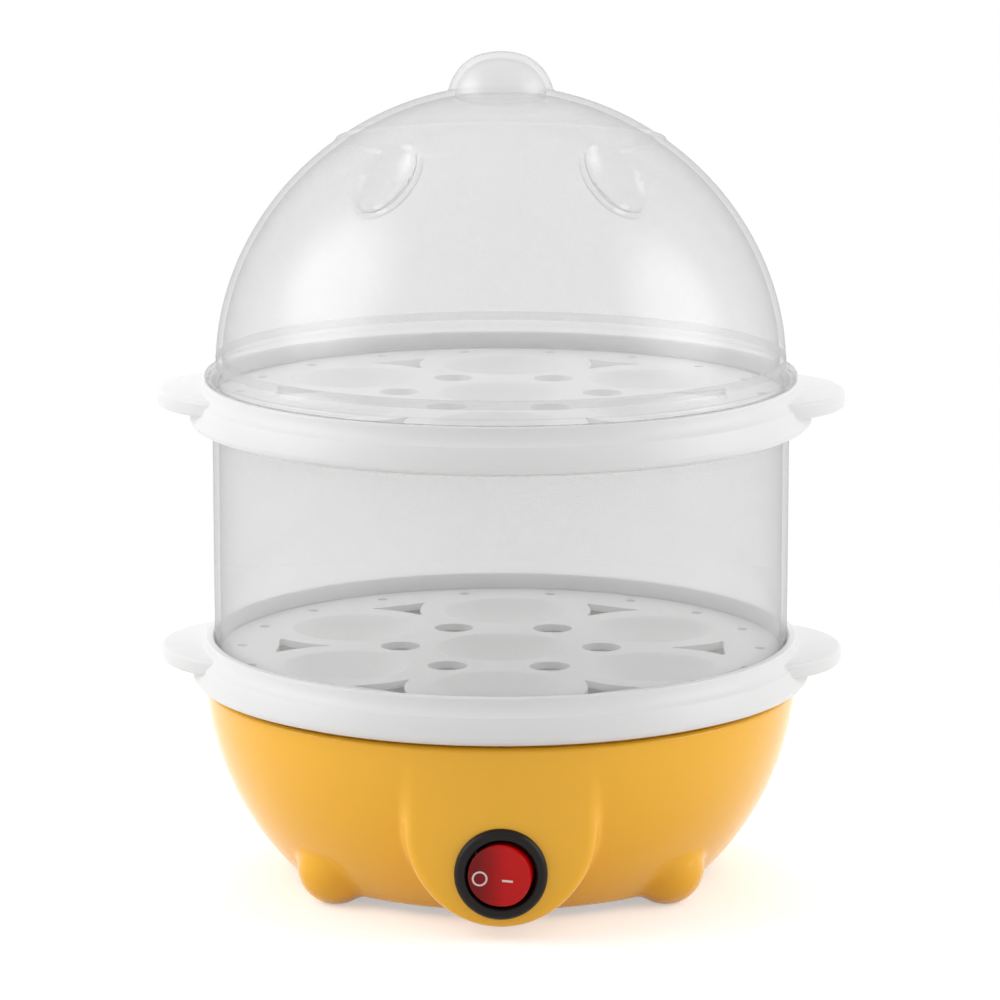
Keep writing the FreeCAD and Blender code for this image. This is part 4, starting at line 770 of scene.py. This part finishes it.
# %% [markdown]
# ## Finishes
# Each finish is a small tree of nodes round one Principled shader. A colour is written the
# way a paint chip gives it, as a hex value, and turned to linear light by one function.
# Fine unevenness comes from noise textures whose scale is worked out from a real size in
# millimetres, and all patterns read object coordinates, so they stay on the piece.

# %% Node helpers
def linear(hex_value):
    """Linear red, green, blue and alpha from an sRGB hex value."""
    rgb = [int(hex_value[k:k + 2], 16) / 255 for k in (1, 3, 5)]
    return [c / 12.92 if c <= 0.04045 else ((c + 0.055) / 1.055) ** 2.4 for c in rgb] + [1.0]


def feed(tree, socket, value):
    """Link an input to another socket, or give it a value of its own."""
    if isinstance(value, bpy.types.NodeSocket):
        tree.links.new(value, socket)
    else:
        socket.default_value = value


def add(tree, kind, settings=None, **inputs):
    """One node with its settings and its inputs. An input takes a value or a socket, and
    its name is the socket's own, with _ for a space."""
    node = tree.nodes.new(kind)
    for key, value in (settings or {}).items():
        setattr(node, key, value)
    for key, value in inputs.items():
        feed(tree, node.inputs[key.replace("_", " ")], value)
    return node


def join(tree, operation, *values, kind="ShaderNodeMath"):
    """Outputs of one step of arithmetic on sockets or values."""
    node = add(tree, kind, {"operation": operation})
    for socket, value in zip(node.inputs, values):
        feed(tree, socket, value)
    return node.outputs


def length(tree, vector, flat=False):
    """Length of a vector, or of its shadow on the ground."""
    kind = "ShaderNodeVectorMath"
    if flat:
        vector = join(tree, "MULTIPLY", vector, (1.0, 1.0, 0.0), kind=kind)["Vector"]
    return join(tree, "LENGTH", vector, kind=kind)["Value"]


def ease(tree, value, low, high, start=0.0, stop=1.0):
    """Smooth step from start to stop while the value goes from low to high."""
    return add(tree, "ShaderNodeMapRange", {"interpolation_type": "SMOOTHSTEP"}, Value=value,
               From_Min=low, From_Max=high, To_Min=start, To_Max=stop).outputs["Result"]


def blend(tree, share, first, second):
    """Colour between two others, which are hex values or sockets."""
    node = add(tree, "ShaderNodeMix", {"data_type": "RGBA"}, Factor=share)
    for socket, colour in zip(node.inputs[6:8], (first, second)):
        feed(tree, socket, linear(colour) if isinstance(colour, str) else colour)
    return node.outputs[2]


def mix(tree, share, first, second):
    """Two shaders mixed by the share of the second."""
    both = add(tree, "ShaderNodeMixShader", Fac=share)
    tree.links.new(first.outputs[0], both.inputs[1])
    tree.links.new(second.outputs[0], both.inputs[2])
    return both


def grain(size_mm):
    """Noise scale, per metre, for spots about this large."""
    return 1.0 / (size_mm * MM)


def noise(tree, place, size_mm, detail=3.0):
    """Soft random pattern with spots of about this size."""
    return add(tree, "ShaderNodeTexNoise", Vector=place, Scale=grain(size_mm),
               Detail=detail).outputs["Fac"]


def vary(tree, pattern, low, high):
    """From low to high over the span of 0.3 to 0.7 that a noise mostly keeps to."""
    return add(tree, "ShaderNodeMapRange", Value=pattern, From_Min=0.3, From_Max=0.7,
               To_Min=low, To_Max=high).outputs["Result"]


def new_finish(name):
    """Empty material, its tree of nodes, and the place on the piece."""
    finish = bpy.data.materials.new(name)
    finish.use_nodes = True
    tree = finish.node_tree
    tree.nodes.clear()
    return finish, tree, add(tree, "ShaderNodeTexCoord").outputs["Object"]


def close(tree, shader):
    """End of a finish's tree."""
    add(tree, "ShaderNodeOutputMaterial", Surface=shader.outputs[0])


PLASTIC_IOR = 1.49
PAINTED_WEB_EDGE = 74.5, 77.0           # between these radii the tray's painted paler web gives way to its rim


def moulded(name, colour, deeper, roughness, gloss_mm=6.0, bump_mm=0.004, mirror=0.5,
            painted_web_tones=None, across=None):
    """Moulded plastic: two near tones that drift slowly, faint waves in the gloss, and a
    shallow unevenness left by the mould. A mirror share of 0.5 is that of clean plastic.
    Web tones, when given, paint a tray's web paler than its rim, as painted light for the
    light let through it. Across, when given, makes the tone change over that span of X in mm
    instead of drifting; that paints shade on one side and a highlight on the other."""
    finish, tree, place = new_finish(name)
    drift = share = noise(tree, place, 45, detail=2.0)
    # A tone that runs over X paints shade on one side and a highlight on the other.
    if across:
        x = add(tree, "ShaderNodeSeparateXYZ", Vector=place).outputs["X"]
        share = ease(tree, x, across[0] * MM, across[1] * MM)
    base = blend(tree, share, colour, deeper)
    # Painted light: a tray's web is painted paler than its rim.
    if painted_web_tones:
        outer = ease(tree, length(tree, place, flat=True), PAINTED_WEB_EDGE[0] * MM, PAINTED_WEB_EDGE[1] * MM)
        base = blend(tree, outer, blend(tree, drift, *painted_web_tones), base)
    wave = noise(tree, place, gloss_mm)
    rough = vary(tree, wave, roughness * 0.85, roughness * 1.2)
    dent = add(tree, "ShaderNodeBump", Height=wave, Strength=1.0, Distance=bump_mm * MM)
    shader = add(tree, "ShaderNodeBsdfPrincipled", Base_Color=base, Roughness=rough,
                 Normal=dent.outputs["Normal"], IOR=PLASTIC_IOR, Specular_IOR_Level=mirror)
    close(tree, shader)
    return finish


print("grey #808080 is", round(linear("#808080")[0], 3), "in linear light")

# %% [markdown]
# ### Opaque plastics
# The bowl is polypropylene, moulded in a polished tool, so it reflects lamps as soft
# bright patches. The trays are the same plastic in white. Their web is painted a paler tone
# than the rim, painted light that stands in for light let through the thin web. The switch
# ring is satin nylon, and the rocker is a polished red that is nearly see-through in a real
# switch; its red is painted darker at the left and brighter at the right, as painted shade
# and a painted highlight.

# %% Plastic finishes
yellow = moulded("polypropylene_yellow", "#FCBC22", "#F9B71E", 0.17, bump_mm=0.006,
                 mirror=0.45)
# The web's two tones are painted paler than the rim: painted light.
white = moulded("polypropylene_white_web_painted_lighter", "#E8E8E8", "#E5E5E5", 0.34, mirror=0.4,
                painted_web_tones=("#EFEFEF", "#ECECEC"))
cover = moulded("polypropylene_cover_textured", "#DDA63E", "#D39C37", 0.5, gloss_mm=0.8,
                bump_mm=0.03)
black = moulded("nylon_black_satin", "#1D1A19", "#171413", 0.36, gloss_mm=1.5, mirror=0.2)
# The red runs from dark at the left to bright at the right: painted shade and a painted
# highlight.
red = moulded("polycarbonate_red_painted_shade_and_highlight", "#7E0607", "#C4080A", 0.14, gloss_mm=3.0,
              bump_mm=0.003, mirror=0.18, across=(-6.5, 2.0))
ink = moulded("printed_mark_ink", "#E8D8D6", "#DECCCA", 0.45, gloss_mm=0.5, bump_mm=0.002)

# %% [markdown]
# ### Clear plastic
# The ring and dome are clear polypropylene or a like plastic, which is never as clear as
# glass: it has a faint grey, milky haze. A full glass shader bends light twice in each
# wall and is slow and dark when pieces stand inside it. A thin wall barely shifts what is
# behind it, so this finish lets most light straight through, adds a little haze, and
# mirrors more the flatter it is seen, by Fresnel's law. The knob is thicker and milkier.

# %% Clear finish
KNOB_HAZE = 0.40                # milky share of the thick knob


def clear_plastic(name, haze, tint, gloss_roughness, knob_z=None):
    """Thin clear wall. Haze is the milky share, which grows above the foot of a knob."""
    finish, tree, place = new_finish(name)
    share = vary(tree, noise(tree, place, 30, detail=2.0), haze * 0.94, haze * 1.06)
    if knob_z:
        height = add(tree, "ShaderNodeSeparateXYZ", Vector=place).outputs["Z"]
        milkier = ease(tree, height, (knob_z - 2) * MM, (knob_z + 2) * MM, stop=KNOB_HAZE)
        share = join(tree, "MAXIMUM", share, milkier)[0]
    tone = linear("#F4F4F4")
    milk = mix(tree, 0.5, add(tree, "ShaderNodeBsdfTranslucent", Color=tone),
               add(tree, "ShaderNodeBsdfDiffuse", Color=tone))
    clear = add(tree, "ShaderNodeBsdfTransparent", Color=linear(tint))
    side = add(tree, "ShaderNodeNewGeometry").outputs["Backfacing"]
    index = add(tree, "ShaderNodeMapRange", Value=side, To_Min=PLASTIC_IOR,
                To_Max=1 / PLASTIC_IOR)
    edge = add(tree, "ShaderNodeFresnel", IOR=index.outputs["Result"]).outputs[0]
    gloss = add(tree, "ShaderNodeBsdfGlossy", Color=linear("#D2D2D2"),
                Roughness=gloss_roughness)
    close(tree, mix(tree, edge, mix(tree, share, clear, milk), gloss))
    return finish


clear_ring = clear_plastic("polypropylene_clear_ring", 0.23, "#FEFEFE", 0.12)
clear_dome = clear_plastic("polypropylene_clear_dome", 0.205, "#FDFDFD", 0.13, KNOB_FOOT)

# %% [markdown]
# ### Metals and the parts inside
# The basin is drawn from stainless sheet and brushed in circles. The inside parts keep
# their exact solids and get plain, true finishes: zinc-plated steel, brass, aluminium,
# silicone and ceramic. A metal's colour is that of its mirror.

# %% Metal and small-part finishes
def marked_metal(tree, colour, marks, rough, depth_mm):
    """Bare metal whose gloss and surface both follow a pattern of marks."""
    dent = add(tree, "ShaderNodeBump", Height=marks, Distance=depth_mm * MM)
    close(tree, add(tree, "ShaderNodeBsdfPrincipled", Base_Color=linear(colour), Metallic=1.0,
                    Roughness=vary(tree, marks, *rough), Normal=dent.outputs["Normal"]))


def metal(name, colour, roughness, line_mm, stretch=(1, 1, 1)):
    """Bare metal with fine marks, drawn coarser than real ones so that they show."""
    finish, tree, place = new_finish(name)
    along = add(tree, "ShaderNodeMapping", Vector=place, Scale=stretch).outputs[0]
    marks = noise(tree, along, line_mm)
    marked_metal(tree, colour, marks, (roughness * 0.8, roughness * 1.25), 0.002)
    return finish


def brushed_round(name, colour, roughness):
    """Sheet brushed in circles: rings come from the distance to the Z axis."""
    finish, tree, place = new_finish(name)
    rings = add(tree, "ShaderNodeTexNoise", {"noise_dimensions": "1D"}, Detail=4.0,
                W=length(tree, place, flat=True), Scale=grain(0.5)).outputs["Fac"]
    marked_metal(tree, colour, rings, (roughness * 0.8, roughness * 1.3), 0.004)
    return finish


finishes = {
    "yellow_plastic": yellow,
    "cover_plastic": cover,
    "white_plastic": white,
    "clear_plastic": clear_dome,
    "switch_black": black,
    "rocker_red": red,
    "stainless": brushed_round("stainless_brushed_in_circles", "#C9C8C6", 0.35),
    "zinc_steel": metal("steel_zinc_plated", "#BFC1C4", 0.38, 0.4),
    "aluminium": metal("aluminium_sheet", "#C6C8CA", 0.38, 0.6, (1, 0.15, 1)),
    "brass": metal("brass_stamped", "#C9A45A", 0.38, 0.5),
    "silicone": moulded("silicone_moulded", "#D3CEC4", "#CBC5BA", 0.62, 1.0, 0.01),
    "sealing_ceramic": moulded("ceramic_bead", "#DCD3C4", "#D2C8B8", 0.7, 0.6, 0.02),
    "phenolic": moulded("phenolic_moulded", "#1D1917", "#262120", 0.45, 0.7, 0.01),
    "glass_sleeving": moulded("glass_fibre_sleeving", "#DDD9CC", "#CFCABC", 0.8, 0.5, 0.08),
    "nylon_white": moulded("nylon_natural", "#E6E5E0", "#DEDCD6", 0.42, 1.5, 0.004),
    "lead_brown": moulded("silicone_lead_brown", "#573825", "#4D3120", 0.55, 0.9, 0.01),
    "lead_white": moulded("silicone_lead_white", "#DEDEDA", "#D5D4CF", 0.55, 0.9, 0.01),
    "lead_blue": moulded("silicone_lead_blue", "#24467F", "#1F3E72", 0.55, 0.9, 0.01),
}
print("finishes:", len(finishes))

# %% [markdown]
# ### Giving out the finishes
# Every solid of the frame says in the record which slot it belongs to. The solids that
# stay in view are loose triangles, so two modifiers weld them and split the shading at
# sharp edges. The solids themselves aren't touched.

# %% Assign finishes
def dress(thing, finish):
    """Give a thing this one finish."""
    thing.data.materials.clear()
    thing.data.materials.append(finish)


replaced = set()
for thing in list(bpy.context.scene.objects):
    replaced |= set(thing.get("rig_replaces", []))
for row in frame["record"]["subparts"]:
    node = frame["nodes"][row["node"]]
    dress(node, finishes[row["material_slot"]])
    if row["node"] in replaced:
        continue
    node.data.shade_smooth()
    node.modifiers.new("weld", "WELD").merge_threshold = 0.01 * MM
    node.modifiers.new("crisp_edges", "EDGE_SPLIT").split_angle = math.radians(32)
for piece, finish in ((bowl, yellow), (trays[0], white), (trays[1], white),
                      (ring, clear_ring), (dome, clear_dome), (bezel, black),
                      (rocker, red), (off_mark, ink), (on_mark, ink)):
    dress(piece, finish)
print("solids kept in view:", len(frame["nodes"]) - len(replaced))

# %% [markdown]
# ## Studio
# The boiler stands on a plain pale floor in a white room. Two large soft boxes stand at
# its left and right, a little above it, so the sides are bright and the front is calmer. A
# third one behind lights the clear pieces through, and isn't mirrored in them. A soft box
# is brightest in its middle and fades to its rim, which keeps its mirror image in the dome
# soft too. The room is white to the eye, but dimmer as a source of light, most of all in
# front.

# %% Floor, world and lamps
AIM_Z = 110                     # the lamps look at the middle of the boiler


def seen_directly(tree):
    """One where a ray comes from the eye, a mirroring surface or a clear piece."""
    path = add(tree, "ShaderNodeLightPath").outputs
    seen = join(tree, "MAXIMUM", path["Is Camera Ray"], path["Is Glossy Ray"])[0]
    return join(tree, "MAXIMUM", seen, path["Is Transmission Ray"])[0]


def make_floor(lift_near, fade_mm=(120, 400), size=6000.0):
    """Pale floor with the boiler's shadow. Beyond the fade it is pure white to the eye."""
    corners = size * np.array([[-1, -1, 0], [1, -1, 0], [1, 1, 0], [-1, 1, 0]])
    mesh = bpy.data.meshes.new("floor")
    mesh.from_pydata((corners * MM).tolist(), [], [[0, 1, 2, 3]])
    floor = bpy.data.objects.new("floor", mesh)
    bpy.context.scene.collection.objects.link(floor)
    finish, tree, place = new_finish("floor_paint_white")
    tone = blend(tree, noise(tree, place, 400, detail=2.0), "#E6E6E6", "#E2E2E2")
    seen = seen_directly(tree)
    lift = join(tree, "MULTIPLY", seen, lift_near)[0]
    near = add(tree, "ShaderNodeAddShader")
    tree.links.new(add(tree, "ShaderNodeBsdfDiffuse", Color=tone).outputs[0], near.inputs[0])
    tree.links.new(add(tree, "ShaderNodeEmission", Strength=lift).outputs[0], near.inputs[1])
    far = ease(tree, length(tree, place), fade_mm[0] * MM, fade_mm[1] * MM)
    fade = join(tree, "MULTIPLY", seen, far)[0]
    close(tree, mix(tree, fade, near, add(tree, "ShaderNodeEmission", Strength=1.0)))
    mesh.materials.append(finish)


def make_world(front, back):
    """White to the eye. As a light its strength goes from front to back over Y."""
    world = bpy.data.worlds.new("studio")
    world.use_nodes = True
    tree = world.node_tree
    tree.nodes.clear()
    way = add(tree, "ShaderNodeTexCoord").outputs["Generated"]
    depth = add(tree, "ShaderNodeSeparateXYZ", Vector=way).outputs["Y"]
    strength = add(tree, "ShaderNodeMapRange", Value=seen_directly(tree),
                   To_Min=ease(tree, depth, -1.0, 1.0, front, back), To_Max=1.0)
    sky = add(tree, "ShaderNodeBackground", Color=(1, 1, 1, 1),
              Strength=strength.outputs["Result"])
    add(tree, "ShaderNodeOutputWorld", Surface=sky.outputs[0])
    bpy.context.scene.world = world


def soft_box(name, place_mm, width_mm, height_mm, brightness, mirrored=True):
    """Oval lamp that faces the boiler; brightness is that of its middle, white being 1."""
    lamp = bpy.data.lights.new(name, "AREA")
    lamp.shape, lamp.size, lamp.size_y = "ELLIPSE", width_mm * MM, height_mm * MM
    lamp.energy = brightness * math.pi * math.pi / 4 * lamp.size * lamp.size_y
    lamp.use_nodes = True
    tree = lamp.node_tree
    tree.nodes.clear()
    across = add(tree, "ShaderNodeNewGeometry").outputs["Parametric"]
    off = join(tree, "DISTANCE", across, (0.5, 0.5, 0.0), kind="ShaderNodeVectorMath")
    fade = ease(tree, off["Value"], 0.1, 0.5, 1.0, 0.0)
    glow = add(tree, "ShaderNodeEmission", Strength=fade)
    add(tree, "ShaderNodeOutputLight", Surface=glow.outputs[0])
    thing = bpy.data.objects.new(name, lamp)
    bpy.context.scene.collection.objects.link(thing)
    thing.location = Vector(place_mm) * MM
    way = Vector((0, 0, AIM_Z)) - Vector(place_mm)
    thing.rotation_euler = way.to_track_quat("-Z", "Y").to_euler()
    thing.visible_camera = False                    # seen in mirror images alone
    thing.visible_glossy = mirrored


make_floor(0.45)
make_world(0.42, 1.02)
soft_box("soft_box_left", (-1150, -150, 760), 1700, 1700, 3.1)
soft_box("soft_box_right", (1260, -200, 620), 1500, 1700, 2.9)
soft_box("soft_box_back", (0, 1050, 1050), 2200, 1300, 2.4, mirrored=False)

# %% [markdown]
# ## Camera
# A product like this is shot from a little above with a long lens, so that the tiers
# stay nearly parallel. The camera stands 1.2 m in front of the axis and looks down by
# about eleven degrees.

# %% Camera
lens = bpy.data.cameras.new("camera")
lens.sensor_width, lens.lens = 36.0, 169.8
lens.shift_x = -0.0009
camera = bpy.data.objects.new("camera", lens)
bpy.context.scene.collection.objects.link(camera)
camera.location = (0.0, -1.2059, 0.3276)
camera.rotation_euler = (math.radians(90 - 10.8), 0.0, 0.0)
bpy.context.scene.camera = camera
bpy.context.scene.view_settings.view_transform = "Standard"
